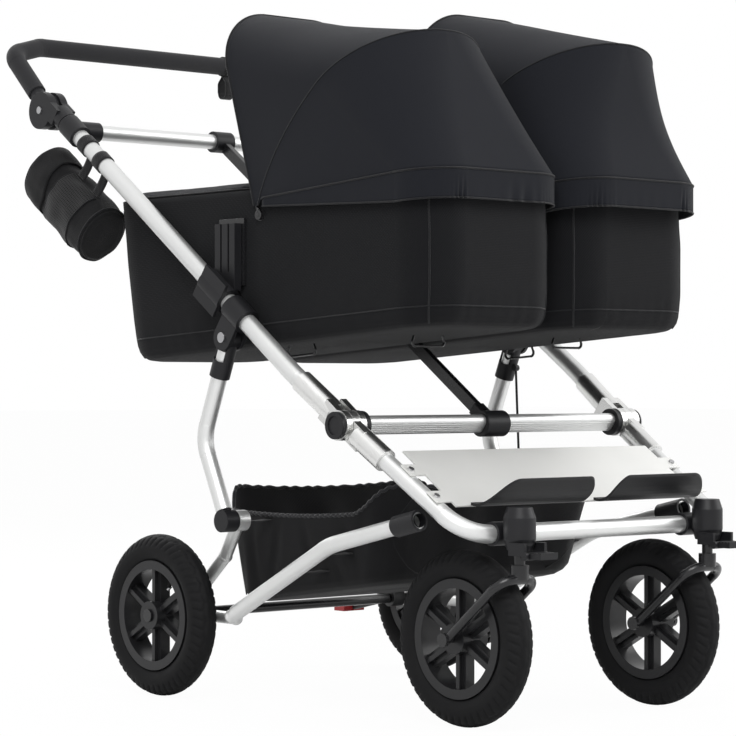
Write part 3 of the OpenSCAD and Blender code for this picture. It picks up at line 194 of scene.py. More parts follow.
# Plain weave on the piece's UV, in metres
def clothFinish(name, colour, rough, pitch, sheen, depth=0.5, mottle=0.16):
    f = Finish(name, {"Sheen Weight": sheen, "Sheen Roughness": 0.45, "Specular IOR Level": 0.13})
    turn = math.pi / pitch
    across, along = f.wave(f.part(f.flat, 0) * turn), f.wave(f.part(f.flat, 1) * turn)
    thread, patch, fluff = across * along, f.cloud(7.0, 4.0), f.cloud(420.0, 3.0)
    shade = 0.5 + mottle * 2.0 * (patch - 0.5) + 0.18 * thread + 0.22 * (fluff - 0.5)
    f.feed("Base Color", f.mix(shade, tint(colour, 0.74), tint(colour, 1.26)))
    f.feed("Roughness", rough + 0.1 * (fluff - 0.5) + 0.06 * thread)
    f.bump(thread + 0.8 * fluff + 2.0 * patch, depth, pitch * 0.4)
    return f.material


def padFinish(name, colour, rough, pitch, sheen):  # weave on the piece's own place, for padded pieces
    f = Finish(name, {"Sheen Weight": sheen, "Sheen Roughness": 0.5, "Specular IOR Level": 0.13})
    turn = math.pi / pitch
    thread = f.wave(f.part(f.place, 0) * turn) * f.wave(f.part(f.place, 1) * turn)
    patch, fluff = f.cloud(8.0, 4.0), f.cloud(380.0, 3.0)
    shade = 0.5 + 0.5 * (patch - 0.5) + 0.2 * thread
    f.feed("Base Color", f.mix(shade, tint(colour, 0.82), tint(colour, 1.16)))
    f.feed("Roughness", rough + 0.1 * (fluff - 0.5))
    f.bump(thread + fluff, 0.4, pitch * 0.4)
    return f.material


def ribFinish(name, colour, rough, pitch):  # webbing: ribs across the strap, twill along it
    f = Finish(name, {"Sheen Weight": 0.12, "Sheen Roughness": 0.4, "Specular IOR Level": 0.2})
    u, v = f.part(f.flat, 0), f.part(f.flat, 1)
    rib = f.wave(v * (2.0 * math.pi / pitch))
    twill = f.wave((u + v) * (math.pi / pitch))
    patch = f.cloud(40.0, 3.0)
    shade = 0.5 + 0.3 * rib * twill + 0.4 * (patch - 0.5)
    f.feed("Base Color", f.mix(shade, tint(colour, 0.7), tint(colour, 1.3)))
    f.feed("Roughness", rough + 0.1 * rib)
    f.bump(rib + 0.6 * twill, 0.6, pitch * 0.3)
    return f.material


def netFinish(name, colour, gapColour, pitch):  # open net over a dark lining
    f = Finish(name, {"Sheen Weight": 0.1, "Specular IOR Level": 0.2})
    turn = math.pi / pitch
    u, v = f.part(f.flat, 0), f.part(f.flat, 1)
    cord = f.wave((u + v) * turn) * f.wave((u - v) * turn)
    hole = cord > 0.18
    f.feed("Base Color", f.mix(hole, tint(colour), tint(gapColour)))
    f.feed("Roughness", 0.6 + 0.3 * hole)
    f.bump(1.0 - hole, 0.7, 0.0006)
    return f.material


def rubberFinish(name, colour, rough):
    f = Finish(name, {"Specular IOR Level": 0.14})
    patch, dust, speck = f.cloud(12.0, 4.0), f.cloud(60.0, 5.0), f.cloud(900.0, 1.0)
    f.feed("Base Color", f.mix(0.5 * patch + 0.5 * dust, tint(colour, 0.75), tint(colour, 1.4)))
    f.feed("Roughness", rough + 0.2 * (dust - 0.5))
    f.bump(speck + 2.0 * dust, 0.18, 0.0004, 0.0006)
    return f.material


def foamFinish(name, colour, rough):
    f = Finish(name, {"Sheen Weight": 0.1, "Sheen Roughness": 0.6, "Specular IOR Level": 0.12})
    cells, patch = f.add("ShaderNodeTexVoronoi", {}, {"Vector": f.place, "Scale": 620.0}), f.cloud(16.0, 3.0)
    f.feed("Base Color", f.mix(0.5 * patch + 0.4 * cells, tint(colour, 0.8), tint(colour, 1.3)))
    f.feed("Roughness", rough + 0.1 * (patch - 0.5))
    f.bump(cells, 0.5, 0.0006, 0.001)
    return f.material


finishes = {
    "satin": metalFinish("satinAluminium", (0.72, 0.725, 0.72), 0.40, 0.08, 0.82),
    "bright": brushedFinish("brushedAluminium", (0.74, 0.74, 0.73), 0.30),
    "plate": metalFinish("plateAluminium", (0.78, 0.78, 0.76), 0.50, 0.1, 0.55),
    "plastic": plasticFinish("mouldedBlack", (0.011, 0.011, 0.0125), 0.42),
    "ribbed": plasticFinish("softTouchBlack", (0.010, 0.010, 0.011), 0.44, 0.2),
    "gloss": plasticFinish("powderCoat", (0.010, 0.010, 0.011), 0.26, 0.04, 0.4),
    "steel": metalFinish("zincSteel", (0.42, 0.42, 0.43), 0.34, 0.1),
    "rim": plasticFinish("rimBlack", (0.011, 0.011, 0.012), 0.34, 0.06, 0.15),
    "tyre": rubberFinish("tyreRubber", (0.007, 0.007, 0.0075), 0.70),
    "foam": foamFinish("gripFoam", (0.019, 0.019, 0.021), 0.86),
    "pedal": pedalFinish("brakePedal", (0.014, 0.014, 0.015), (0.45, 0.018, 0.022), 0.2675),
    "canopy": clothFinish("canopyCloth", (0.0085, 0.0093, 0.0125), 0.80, 0.0011, 0.05, 0.35),
    "lining": clothFinish("canopyLining", (0.012, 0.012, 0.014), 0.8, 0.0011, 0.06),
    "cot": clothFinish("cotCloth", (0.0050, 0.0052, 0.0062), 0.84, 0.0014, 0.05, 0.5),
    "piping": clothFinish("pipingCloth", (0.0070, 0.0072, 0.0085), 0.6, 0.0012, 0.15),
    # basket binding: lighter than the basket cloth; the lighter colour is a painted highlight along the rim
    "highlightedBinding": clothFinish("bindingPaintedHighlight", (0.016, 0.016, 0.018), 0.55, 0.0012, 0.25),
    "basket": clothFinish("basketNylon", (0.0055, 0.0055, 0.0062), 0.62, 0.0012, 0.06, 0.45),
    "bag": clothFinish("bagNylon", (0.0055, 0.0055, 0.0062), 0.68, 0.0012, 0.08, 0.5),
    "net": netFinish("bagNet", (0.018, 0.018, 0.019), (0.003, 0.003, 0.003), 0.0042),
    "webbing": ribFinish("webbing", (0.012, 0.012, 0.013), 0.62, 0.0024),
    "mattress": padFinish("mattressCotton", (0.56, 0.56, 0.55), 0.85, 0.0014, 0.15),
    "apron": padFinish("apronCloth", (0.0075, 0.0082, 0.0105), 0.80, 0.0012, 0.06),
}
print("finishes made:", len(finishes))

nodeFinishes = {
    "satin": [
        "push_tube_left", "push_tube_right", "front_tube", "rear_leg_left", "rear_leg_right",
        "bottom_tubes", "lower_links", "rear_crossbar", "front_crossbar"],
    "bright": ["upper_hinge_sleeves", "lower_hinge_sleeves"],
    "plate": ["footplate"],
    "steel": ["frame_pins", "footplate_rivets"],
    "gloss": [
        "fork_left", "fork_right", "rear_axle", "cot_fittings_left", "cot_fittings_right", "centre_rail",
        "canopy_bow_left", "canopy_bow_right"],
    "plastic": [
        "hinge_caps", "crossbar_fittings", "leg_clamps", "cot_adapters", "handle_hubs", "handle_tube",
        "handle_button_left", "handle_button_right", "caster_posts", "leg_sleeves", "bottom_tube_clamps",
        "lock_cable"],
    "ribbed": ["footrests", "swivel_lock_left", "swivel_lock_right"],
    "rim": ["front_rim_left", "front_rim_right", "rear_rim_left", "rear_rim_right"],
    "foam": ["handle_grip"],
    "pedal": ["brake_pedal"],
}
for finish, names in nodeFinishes.items():
    for name in names:
        nodes[name].data.materials.clear()
        nodes[name].data.materials.append(finishes[finish])
print("finishes on", sum(len(names) for names in nodeFinishes.values()), "nodes")


# A piece is made of patches: a grid is laid on the surface that place(u, v) gives
class Piece:
    def __init__(self, name):
        self.name = name
        self.bm = bmesh.new()
        self.uv = self.bm.loops.layers.uv.new("UVMap")
        self.used = []

    def patch(self, finish, cols, rows, place, size=(1.0, 1.0)):
        if finish not in self.used:
            self.used.append(finish)
        made = bmesh.ops.create_grid(self.bm, x_segments=cols, y_segments=rows, size=0.5)
        for face in {f for v in made["verts"] for f in v.link_faces}:
            face.smooth = True
            face.material_index = self.used.index(finish)
            for loop in face.loops:
                at = loop.vert.co
                loop[self.uv].uv = ((at.x + 0.5) * size[0], (at.y + 0.5) * size[1])
        for v in made["verts"]:
            v.co = place(v.co.x + 0.5, v.co.y + 0.5)

    def pipe(self, finish, path, radius, around=8, closed=False):  # a thin tube along a path
        points = [Vector(p) for p in path]
        count = len(points)
        total = sum((b - a).length for a, b in zip(points, points[1:]))
        frames = []
        side = None
        for i in range(count):
            ahead = points[(i + 1) % count] if closed else points[min(i + 1, count - 1)]
            behind = points[i - 1] if closed else points[max(i - 1, 0)]
            way = (ahead - behind).normalized()
            if side is None:
                side = way.orthogonal()
            side = (side - way * side.dot(way)).normalized()
            frames.append((side, way.cross(side)))

        def place(u, v):
            i = round(v * (count if closed else count - 1)) % count
            a = 2 * math.pi * u
            first, second = frames[i]
            return points[i] + radius * (math.cos(a) * first + math.sin(a) * second)

        if closed:  # start and end frames meet without a twist
            self.patch(finish, around, count, place, (radius * 6.3, total))
        else:
            self.patch(finish, around, count - 1, place, (radius * 6.3, total))
            for end in (points[0], points[-1]):
                near = [v for v in self.bm.verts if (v.co - end).length < radius * 1.05]
                edges = [e for e in self.bm.edges if e.verts[0] in near and e.verts[1] in near]
                bmesh.ops.holes_fill(self.bm, edges=[e for e in edges if e.is_boundary], sides=0)

    def ribbon(self, finish, path, across, width):  # a flat strap along a path
        points = [Vector(p) for p in path]
        wide = Vector(across).normalized() * width
        total = sum((b - a).length for a, b in zip(points, points[1:]))
        last = len(points) - 1
        self.patch(finish, 4, last, lambda u, v: points[round(v * last)] + wide * (u - 0.5), (width, total))

    def done(self, body=None, wall=0.0, offset=-1.0, stands=(), slot=None, level=0):
        bmesh.ops.remove_doubles(self.bm, verts=self.bm.verts, dist=1e-6)
        bmesh.ops.recalc_face_normals(self.bm, faces=self.bm.faces)
        mesh = bpy.data.meshes.new(self.name)
        self.bm.to_mesh(mesh)
        self.bm.free()
        obj = bpy.data.objects.new(self.name, mesh)
        scene.collection.objects.link(obj)
        for finish in self.used:
            mesh.materials.append(finishes[finish])
        if level:
            rounder = obj.modifiers.new("rounder", "SUBSURF")
            rounder.levels = rounder.render_levels = level
        if wall:
            thick = obj.modifiers.new("wall", "SOLIDIFY")
            thick.thickness = wall
            thick.offset = offset
        if body:
            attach(obj, body)
        if stands:
            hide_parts(*stands)
        return obj


def ease(low, high, value):
    t = min(1.0, max(0.0, (value - low) / (high - low)))
    return t * t * (3 - 2 * t)


def wobble(at, scale, seed):  # smooth noise from -1 to 1
    return noise.noise(Vector(at) * scale + Vector((seed, seed * 1.7, seed * 0.3)))


# A round-cornered box outline, with fixed shares of u for its sides and corners
outline = {"sideX": 0.12, "sideY": 0.26, "corner": 0.06}


def boxPoint(u, x0, x1, y0, y1, r):
    u = u % 1.0
    legs = [
        ("sideX", (x0 + r, y0), (x1 - r, y0)), ("corner", (x1 - r, y0 + r), -90),
        ("sideY", (x1, y0 + r), (x1, y1 - r)), ("corner", (x1 - r, y1 - r), 0),
        ("sideX", (x1 - r, y1), (x0 + r, y1)), ("corner", (x0 + r, y1 - r), 90),
        ("sideY", (x0, y1 - r), (x0, y0 + r)), ("corner", (x0 + r, y0 + r), 180)]
    for kind, first, second in legs:
        share = outline[kind]
        if u <= share + 1e-9:
            t = u / share
            if kind == "corner":
                a = math.radians(second + 90 * t)
                return first[0] + r * math.cos(a), first[1] + r * math.sin(a)
            return first[0] + (second[0] - first[0]) * t, first[1] + (second[1] - first[1]) * t
        u -= share
    return legs[0][1]


# Canopies: one sheet from the hem over the middle bow to the back bow, with a gathered valance
canopy = {
    "midX": 0.14675, "half": 0.14625, "pivot": (-0.076, 0.745), "root": 0.014,
    "tilts": {1: (84.0, 53.0, 6.0), -1: (86.0, 45.0, -17.0)},
    "rootTilts": {1: (84.0, 30.0, 6.0), -1: (86.0, 9.0, -17.0)}, "curve": 0.55,
    "heights": {1: (0.3988, 0.434, 0.3355), -1: (0.3855, 0.374, 0.3355)},
    "corners": (0.075, 0.143, 0.100), "sags": {1: (0.04, 0.002), -1: (0.008, 0.02)},
    "lifts": {1: 0.010, -1: 0.024}, "long": 1.02, "ripple": 0.0008, "trimSteps": 96,
    "steps": {"side": 4, "bend": 14, "all": 16}, "valance": 0.042, "fade": 0.3, "wall": 0.0016,
    "cols": 128, "rows": 72, "valanceRows": 12, "gather": 0.0024, "gatherPitch": 0.023,
    "piping": 0.0015, "gap": 0.0006}


def archPoint(side, t, row):  # row 0 is the hem, 1 the middle bow, 2 the back bow
    half, high, r = canopy["half"], canopy["heights"][side][row], canopy["corners"][row]
    sideEnd, bendEnd, top = canopy["steps"].values()
    k = top * (1 - abs(2 * t - 1))
    way = 1 if t <= 0.5 else -1
    if k <= sideEnd:
        x, h = half, canopy["root"] + (high - r - canopy["root"]) * k / sideEnd
    elif k <= bendEnd:
        a = math.radians(90 * (k - sideEnd) / (bendEnd - sideEnd))
        x, h = half - r + r * math.cos(a), high - r + r * math.sin(a)
    else:
        x, h = (half - r) * (top - k) / (top - bendEnd), high
    root, tip = canopy["rootTilts"][side][row], canopy["tilts"][side][row]
    a = math.radians(root + (tip - root) * (h / high) ** canopy["curve"])
    lift = canopy["lifts"][side] if row == 0 else 0.0
    return Vector((
        side * (canopy["midX"] + way * x),
        canopy["pivot"][0] - h * math.sin(a), canopy["pivot"][1] + h * math.cos(a) + lift))


def canopyPoint(side, t, v):  # taut between the bows, sagging a little towards the pivots
    row = 0 if v <= 1 else 1
    k = v - row
    at = archPoint(side, t, row).lerp(archPoint(side, t, row + 1), k)
    sag = canopy["sags"][side][row] * math.sin(math.pi * k)
    return at.lerp(Vector((at.x, *canopy["pivot"])), sag)


def valancePoint(side, t, drop):  # a plain band, puckered here and there along its lower edge
    fall = min(1.0, canopy["steps"]["all"] * (1 - abs(2 * t - 1)) / canopy["steps"]["side"])
    at = canopyPoint(side, t, 0.0)
    along = t * canopy["long"]
    fold = math.sin(2 * math.pi * along / canopy["gatherPitch"] + 5.0 * wobble((along, 0, 0), 9.0, side))
    strong = ease(0.0, 0.5, wobble((along, 0, 0), 13.0, side + 6.0)) * ease(0.25, 0.4, t) * ease(0.85, 0.7, t)
    out = Vector((at.x - side * canopy["midX"], at.y - canopy["pivot"][0], 0)).normalized()
    at.z -= canopy["valance"] * (canopy["fade"] + (1 - canopy["fade"]) * fall) * drop
    return at + out * canopy["gather"] * (0.08 + strong) * (fold - 1.0) * drop ** 2


def hoodPoint(side, u, v):  # the taut cloth with a slight ripple
    at = canopyPoint(side, u, 2 * v)
    return at + Vector((0, 0, 1)) * canopy["ripple"] * wobble(at, 14.0, 3.0) * math.sin(math.pi * u)


def apart(side, line, free):  # the two canopies nearly touch along the middle
    return [Vector((side * max(abs(p.x), free), p.y, p.z)) for p in line]


for name, side in sides.items():
    cloth = Piece("canopy_cloth_" + name)
    cloth.patch("canopy", canopy["cols"], canopy["rows"], lambda u, v: hoodPoint(side, u, v), (0.92, 0.56))
    cloth.patch(
        "canopy", canopy["cols"] * 3, canopy["valanceRows"],
        lambda u, v: valancePoint(side, u, v), (0.92, canopy["valance"]))
    sheet = cloth.done(wall=canopy["wall"], stands=["canopy_" + name], slot="canopy_fabric")
    trim = Piece("canopy_trim_" + name)
    steps = canopy["trimSteps"]
    free = canopy["gap"] + canopy["piping"]
    for v, grow in ((0.0, 1.0), (1.0, 0.8), (2.0, 1.1)):
        line = [canopyPoint(side, i / steps, v) for i in range(steps + 1)]
        trim.pipe("piping", apart(side, line, free), canopy["piping"] * grow)
    line = [valancePoint(side, i / (3 * steps), 1.0) for i in range(3 * steps + 1)]
    trim.pipe("piping", apart(side, line, free), canopy["piping"] * 0.9, 6)
    edge = trim.done(slot="canopy_fabric")
    pivotY, pivotZ = canopy["pivot"]
    start = (side * canopy["midX"], pivotY - 0.37, pivotZ + 0.05)
    end = tuple(archPoint(side, 0.5, 2))
    for piece in (sheet, edge):
        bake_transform(piece)
print("canopies made")


# Carrycots: sewn shell with rolled bottom edge, lining, rim binding and corner seams
cot = {
    "x": (0.0095, 0.284), "y": (-0.447, 0.321), "floor": 0.521, "rim": 0.784, "corner": 0.070, "slant": 0.045,
    "nose": 0.052, "wall": 0.008, "midX": 0.14675, "girth": 1.98, "bulge": 0.0030,
    "pleat": 0.0016, "pleatPitch": 0.042, "around": 200, "binding": 0.0030, "seam": 0.0014}


def cotPoint(side, u, inset, z, loss, swell=0.0):
    fade = (cot["rim"] - z) / (cot["rim"] - cot["floor"])
    x0, x1, y0, y1 = *cot["x"], *cot["y"]
    rear = y1 - inset - cot["slant"] * fade
    x, y = boxPoint(u, x0 + inset, x1 - inset, y0 + inset, rear, cot["corner"] - loss)
    lift = cot["nose"] * (y1 - y) / (y1 - y0) * fade
    if swell:
        middle = Vector(((x0 + x1) / 2, (y0 + y1) / 2, 0))
        rest = ease(0.0, 1.0, (z - 0.545) / 0.05) * ease(0.0, 1.0, (0.735 - z) / 0.06)
        free = 1.0 if x < x1 - 0.02 else max(ease(0.03, 0.06, y), ease(-0.06, -0.09, y))
        inner = 0.4 if x < x0 + 0.02 else 1.0
        out = (Vector((x, y, 0)) - middle).normalized()
        soft = 0.7 + 0.5 * wobble((x, y, z), 7.0, 5.0)
        low = 1 - ease(cot["floor"] + 0.02, cot["floor"] + 0.085, z)
        long = u * cot["girth"]
        pleat = math.sin(2 * math.pi * long / cot["pleatPitch"] + 6 * wobble((x, y, 0), 9.0, 2.0))
        strong = min(1.0, max(0.0, 0.5 + 1.1 * wobble((x, y, 0), 12.0, 9.0)))
        move = swell * (cot["bulge"] * rest * soft * free * inner)
        move -= cot["pleat"] * low * (0.5 + 0.5 * pleat) * strong
        x, y = x + out.x * move, y + out.y * move
    return Vector((side * x, y, z + lift))


def alongProfile(rows, v):  # rows are (inset, height, corner loss)
    k = v * (len(rows) - 1)
    i = min(int(k), len(rows) - 2)
    return [a + (b - a) * (k - i) for a, b in zip(rows[i], rows[i + 1])]


cotOuter = [
    (0.0272, 0.521, 0.0272), (0.0150, 0.5232, 0.0150), (0.0085, 0.5278, 0.0085), (0.0032, 0.5370, 0.0032),
    (0.0006, 0.5480, 0.0006), (0.0, 0.560, 0.0), (0.0, 0.590, 0.0), (0.0, 0.6525, 0.0), (0.0, 0.715, 0.0),
    (0.0, 0.784, 0.0), (0.0012, 0.7838, 0.0012)]
cotInner = [
    (0.0068, 0.7838, 0.0068), (0.008, 0.784, 0.008), (0.008, 0.6525, 0.008), (0.008, 0.555, 0.008),
    (0.020, 0.537, 0.020), (0.034, 0.531, 0.034)]
for name, side in sides.items():
    shell = Piece("cot_shell_" + name)
    shell.patch(
        "cot", cot["around"], 44,
        lambda u, v: cotPoint(side, u, *alongProfile(cotOuter, v), 1.0), (1.98, 0.30))
    shell.patch(
        "cot", cot["around"], 6,
        lambda u, v: cotPoint(side, u, 0.0012 + 0.0056 * v, 0.7838, 0.0012 + 0.0056 * v), (1.98, 0.008))
    shell.patch(
        "lining", cot["around"], 20, lambda u, v: cotPoint(side, u, *alongProfile(cotInner, v)), (1.9, 0.26))
    floorFaces = (("cot", 0.521, 0.0272, 1.0), ("lining", 0.531, 0.034, 0.0))
    for finish, z, inset, swell in floorFaces:
        rise = cot["nose"] * (cot["y"][1] + 0.08) / (cot["y"][1] - cot["y"][0])
        height = z + rise * (cot["rim"] - z) / (cot["rim"] - cot["floor"])
        middle = Vector((side * cot["midX"], -0.08, height))
        shell.patch(
            finish, cot["around"], 8,
            lambda u, v: middle.lerp(cotPoint(side, u, inset, z, inset, swell), v), (1.9, 0.3))
    shell.done("cot_" + name, stands=["cot_tub_" + name], slot="cot_fabric")
    trim = Piece("cot_trim_" + name)
    half = cot["wall"] / 2
    ring = [cotPoint(side, i / 160, half, cot["rim"] - cot["binding"], half) for i in range(160)]
    trim.pipe("piping", ring, cot["binding"], 8, True)
    for u in (0.15, 0.47, 0.65, 0.97):  # corner seams, from the rolled edge up to the rim
        rows = [cotPoint(side, u, *alongProfile(cotOuter, 0.18 + 0.70 * i / 40), 1.0) for i in range(41)]
        trim.pipe("piping", rows, cot["seam"], 6)
    ring = [cotPoint(side, i / 200, *alongProfile(cotOuter, 0.47), 1.0) for i in range(200)]
    trim.pipe("piping", ring, cot["seam"] * 0.8, 6, True)
    trim.done("cot_" + name, slot="cot_fabric")
print("carrycots made")


# Padded pieces swell under a cloth simulation, and the other side's copy is mirrored
pads = {
    "mattress": {"node": "cot_mattress", "finish": "mattress", "slot": "mattress_fabric", "shrink": 0.004,
                 "voxel": 0.006, "cap": 0.0055, "fill": 0.7, "quickCrown": 0.003},
    "apron": {"node": "cot_apron", "finish": "apron", "slot": "canopy_fabric", "shrink": 0.0025,
              "voxel": 0.005, "cap": 0.005, "fill": 0.5, "quickCrown": 0.002},
}


def meshPoints(mesh):
    return [v.co.copy() for v in mesh.vertices]


def swollen(name, pad):
    bm = bmesh.new()
    bm.from_mesh(nodes[pad["node"] + "_left"].data)
    bmesh.ops.remove_doubles(bm, verts=bm.verts, dist=1e-5)
    bm.normal_update()
    for v, n in [(v, v.normal.copy()) for v in bm.verts]:
        v.co -= n * pad["shrink"]
    mesh = bpy.data.meshes.new(name)
    bm.to_mesh(mesh)
    bm.free()
    obj = bpy.data.objects.new(name, mesh)
    scene.collection.objects.link(obj)
    even = obj.modifiers.new("even", "REMESH")
    even.mode = "VOXEL"
    even.voxel_size = pad["voxel"]
    graph = bpy.context.evaluated_depsgraph_get()
    fine = bpy.data.meshes.new_from_object(obj.evaluated_get(graph))
    obj.modifiers.clear()
    obj.data = fine
    low = min(v.co.z for v in mesh.vertices) - pad["shrink"]
    start = meshPoints(fine)
    cloth = obj.modifiers.new("swell", "CLOTH")
    cloth.settings.use_pressure = True
    cloth.settings.uniform_pressure_force = 4.0
    cloth.settings.quality = 5
    cloth.settings.effector_weights.gravity = 0.0
    for f in range(1, 21):
        scene.frame_set(f)
    graph = bpy.context.evaluated_depsgraph_get()
    moved = meshPoints(obj.evaluated_get(graph).data)
    obj.modifiers.clear()
    scene.frame_set(1)
    for v, a, b in zip(fine.vertices, start, moved):
        step = b - a
        if step.length > pad["cap"]:
            step *= pad["cap"] / step.length
        v.co = a + step
        v.co.z = max(v.co.z, low)
    fine.update()
    for face in fine.polygons:
        face.use_smooth = True
    return obj


def finishPad(obj, pad, name):
    obj.data.materials.clear()
    obj.data.materials.append(finishes[pad["finish"]])
    rounder = obj.modifiers.new("rounder", "SUBSURF")
    rounder.levels = rounder.render_levels = 1
    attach(obj, "cot_" + name)
    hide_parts(pad["node"] + "_" + name)


for kind, pad in pads.items():
    left = swollen(kind + "_left", pad)
    bm = bmesh.new()
    bm.from_mesh(left.data)
    bmesh.ops.scale(bm, vec=(-1, 1, 1), verts=bm.verts)
    bmesh.ops.reverse_faces(bm, faces=bm.faces)
    mirrored = bpy.data.meshes.new(kind + "_right")
    bm.to_mesh(mirrored)
    bm.free()
    right = bpy.data.objects.new(kind + "_right", mirrored)
    scene.collection.objects.link(right)
    finishPad(left, pad, "left")
    finishPad(right, pad, "right")
    print(kind, "pads swollen,", len(left.data.vertices), "points")


# Apron edge piping, drawn in a little between the corners
apron = {
    "front": -0.062, "base": 0.7843, "rise": 0.0028, "piping": 0.0018, "inset": 0.004, "corner": 0.066,
    "middle": (0.14675, 0.1295), "half": (0.13725, 0.1915), "draw": 0.004}
for name, side in sides.items():
    trim = Piece("apron_trim_" + name)
    x0, x1 = cot["x"]
    inset = apron["inset"]
    ring = []
    for i in range(160):
        x, y = boxPoint(
            i / 160, x0 + inset, x1 - inset, apron["front"] + inset, cot["y"][1] - inset, apron["corner"])
        kx, ky = ((p - m) / h for p, m, h in zip((x, y), apron["middle"], apron["half"]))
        draw = apron["draw"] * (1 - (kx * ky) ** 2)
        ring.append(Vector((side * (x - draw * kx), y - draw * ky, apron["base"] + apron["rise"])))
    trim.pipe("piping", ring, apron["piping"], 8, True)
    trim.done("cot_" + name, slot="canopy_fabric")
print("apron edges made")


# Basket: hanging cloth cup with slack rim, folds on its front and a bound edge
basket = {
    "half": 0.224, "y": (-0.304, 0.096), "floor": (0.198, 0.142), "rim": (0.344, 0.332), "taper": 0.038,
    "corner": 0.046, "sag": 0.010, "dip": 0.038, "fold": 0.012, "foldPitch": 0.115, "crease": 0.002,
    "loose": 0.8, "wall": 0.0022, "binding": 0.0030, "ruffle": 0.0010, "around": 220, "floorIn": 0.023}


def basketHeights(x, y):  # floor and rim; the rim of the two long sides dips behind the front corners
    k = (y - basket["y"][0]) / (basket["y"][1] - basket["y"][0])
    wide = x / basket["half"]
    free = 1 - (2 * k - 1) ** 2 * wide ** 2
    dip = basket["dip"] * ease(0.75, 1.0, abs(wide)) * ease(0.0, 0.22, k) * ease(1.0, 0.93, k)
    low = basket["floor"][0] + k * (basket["floor"][1] - basket["floor"][0])
    return low, basket["rim"][0] + k * (basket["rim"][1] - basket["rim"][0]) - basket["sag"] * free - dip


def basketPoint(u, share, inset=0.0):
    tuck = basket["taper"] * (1 - share)
    y0, y1 = basket["y"]
    half = basket["half"]
    x, y = boxPoint(
        u, -half + inset + tuck / 2, half - inset - tuck / 2, y0 + inset + tuck, y1 - inset - tuck / 3,
        basket["corner"])
    low, high = basketHeights(x, y)
    loose = max(0.0, 1 - abs(x) / (half * basket["loose"]))
    fold = 0.5 + 0.5 * math.sin(2 * math.pi * x / basket["foldPitch"] + 1.1 + 1.2 * share)
    crease = abs(wobble((x, y, share * 0.05), 17.0, 8.0))  # sharp folds where the noise crosses zero
    soft = basket["crease"] * (0.5 - ease(0.0, 0.28, crease))
    pull = math.sin(math.pi * share) * (basket["fold"] * loose * fold + soft)
    away = Vector((x, y - (y0 + y1) / 2, 0)).normalized()
    return Vector((x - pull * away.x, y - pull * away.y, low + share * (high - low)))


# Inset and share of the height, from the rounded floor edge up to the rim
basketRows = [(basket["floorIn"], 0.0), (0.012, 0.012), (0.004, 0.055), (0.0, 0.12)]
basketRows += [(0.0, 0.12 + 0.88 * i / 14) for i in range(1, 15)]


def basketWall(u, v):
    inset, share = alongProfile(basketRows, v)
    return basketPoint(u, share, inset)


cup = Piece("basket_cloth")
cup.patch("basket", basket["around"], 51, basketWall, (1.16, 0.20))
middle = Vector((0.0, -0.104, 0.1705))
cup.patch(
    "basket", basket["around"], 16,
    lambda u, v: middle.lerp(basketPoint(u, 0.0, basket["floorIn"]), v), (1.1, 0.2))
basketCloth = cup.done("rear_frame", wall=basket["wall"], stands=["basket"], slot="basket_fabric")
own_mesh(basketCloth)
edge = Piece("basket_trim")
gathers = [basketPoint(i / 880, 1.0, 0.0012) for i in range(880)]
for i, p in enumerate(gathers):  # elastic edge, gathered into small ruffles
    p.z += basket["ruffle"] * math.sin(2 * math.pi * i / 8 + 3 * wobble(p, 30.0, 1.0))
# the binding's lighter colour is a painted highlight along the rim
edge.pipe("highlightedBinding", gathers, basket["binding"], 6, True)
# Side seams, bowed at the front corners
for u, bow in ((0.11, 0.035), (0.01, -0.035), (0.47, 0.0), (0.65, 0.0)):
    seam = [basketPoint(u + bow * math.sin(math.pi * i / 30), 0.08 + 0.9 * i / 30, 0.0006) for i in range(31)]
    edge.pipe("piping", seam, 0.0012, 6)
edgePiece = edge.done("rear_frame", slot="basket_fabric")
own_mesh(edgePiece)
print("basket made")

# Basket straps reach from the cup to the bottom tubes and the leg feet
basketStraps = {
    "width": 0.020, "wall": 0.0016, "gap": 0.0004, "slack": 0.0015,
    "ends": ((0.267, -0.200, 0.2387), (0.267, -0.140, 0.2091), (0.270, -0.020, 0.282))}
straps = Piece("basket_webbing")
for side in (-1, 1):
    for end, y, z in basketStraps["ends"]:
        low, high = basketHeights(basket["half"], y)
        start = basket["half"] - basket["taper"] * (1 - (z - low) / (high - low)) / 2 + basketStraps["gap"]
        path = []
        for i in range(11):
            hang = 0.0006 + basketStraps["slack"] * math.sin(math.pi * i / 10)
            path.append((side * (start + (end - start) * i / 10), y, z - hang))
        straps.ribbon("webbing", path, (0, 1, 0), basketStraps["width"])
webbing = straps.done(
    "rear_frame", wall=basketStraps["wall"], offset=0.0, stands=["basket_straps"], slot="webbing")
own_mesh(webbing)
print("basket straps made")

# Plugs close the front ends of the bottom tubes
plug = {
    "x": 0.279, "front": (-0.4216, 0.2972), "bend": (-0.229, 0.253), "radius": 0.0099,
    "deep": 0.012, "proud": 0.003}
plugs = Piece("bottom_tube_plugs")
way = Vector((0, *plug["bend"])) - Vector((0, *plug["front"]))
way.normalize()
for side in (-1, 1):
    end = Vector((side * plug["x"], *plug["front"]))
    path = [end + way * (plug["deep"] * i / 4 - plug["proud"]) for i in range(5)]
    plugs.pipe("plastic", path, plug["radius"], 24)
plugs.done("rear_frame", slot="black_plastic")
print("tube ends plugged")


# Places along the right push tube: s up the tube, w square to it
pushTube = {"y": -0.282, "z": 0.430, "slope": 35.6, "x": -0.304, "d": 0.028}


def onPush(x, s, w):
    a = math.radians(pushTube["slope"])
    ahead, rise = s * math.cos(a) - w * math.sin(a), s * math.sin(a) + w * math.cos(a)
    return Vector((x, pushTube["y"] + ahead, pushTube["z"] + rise))


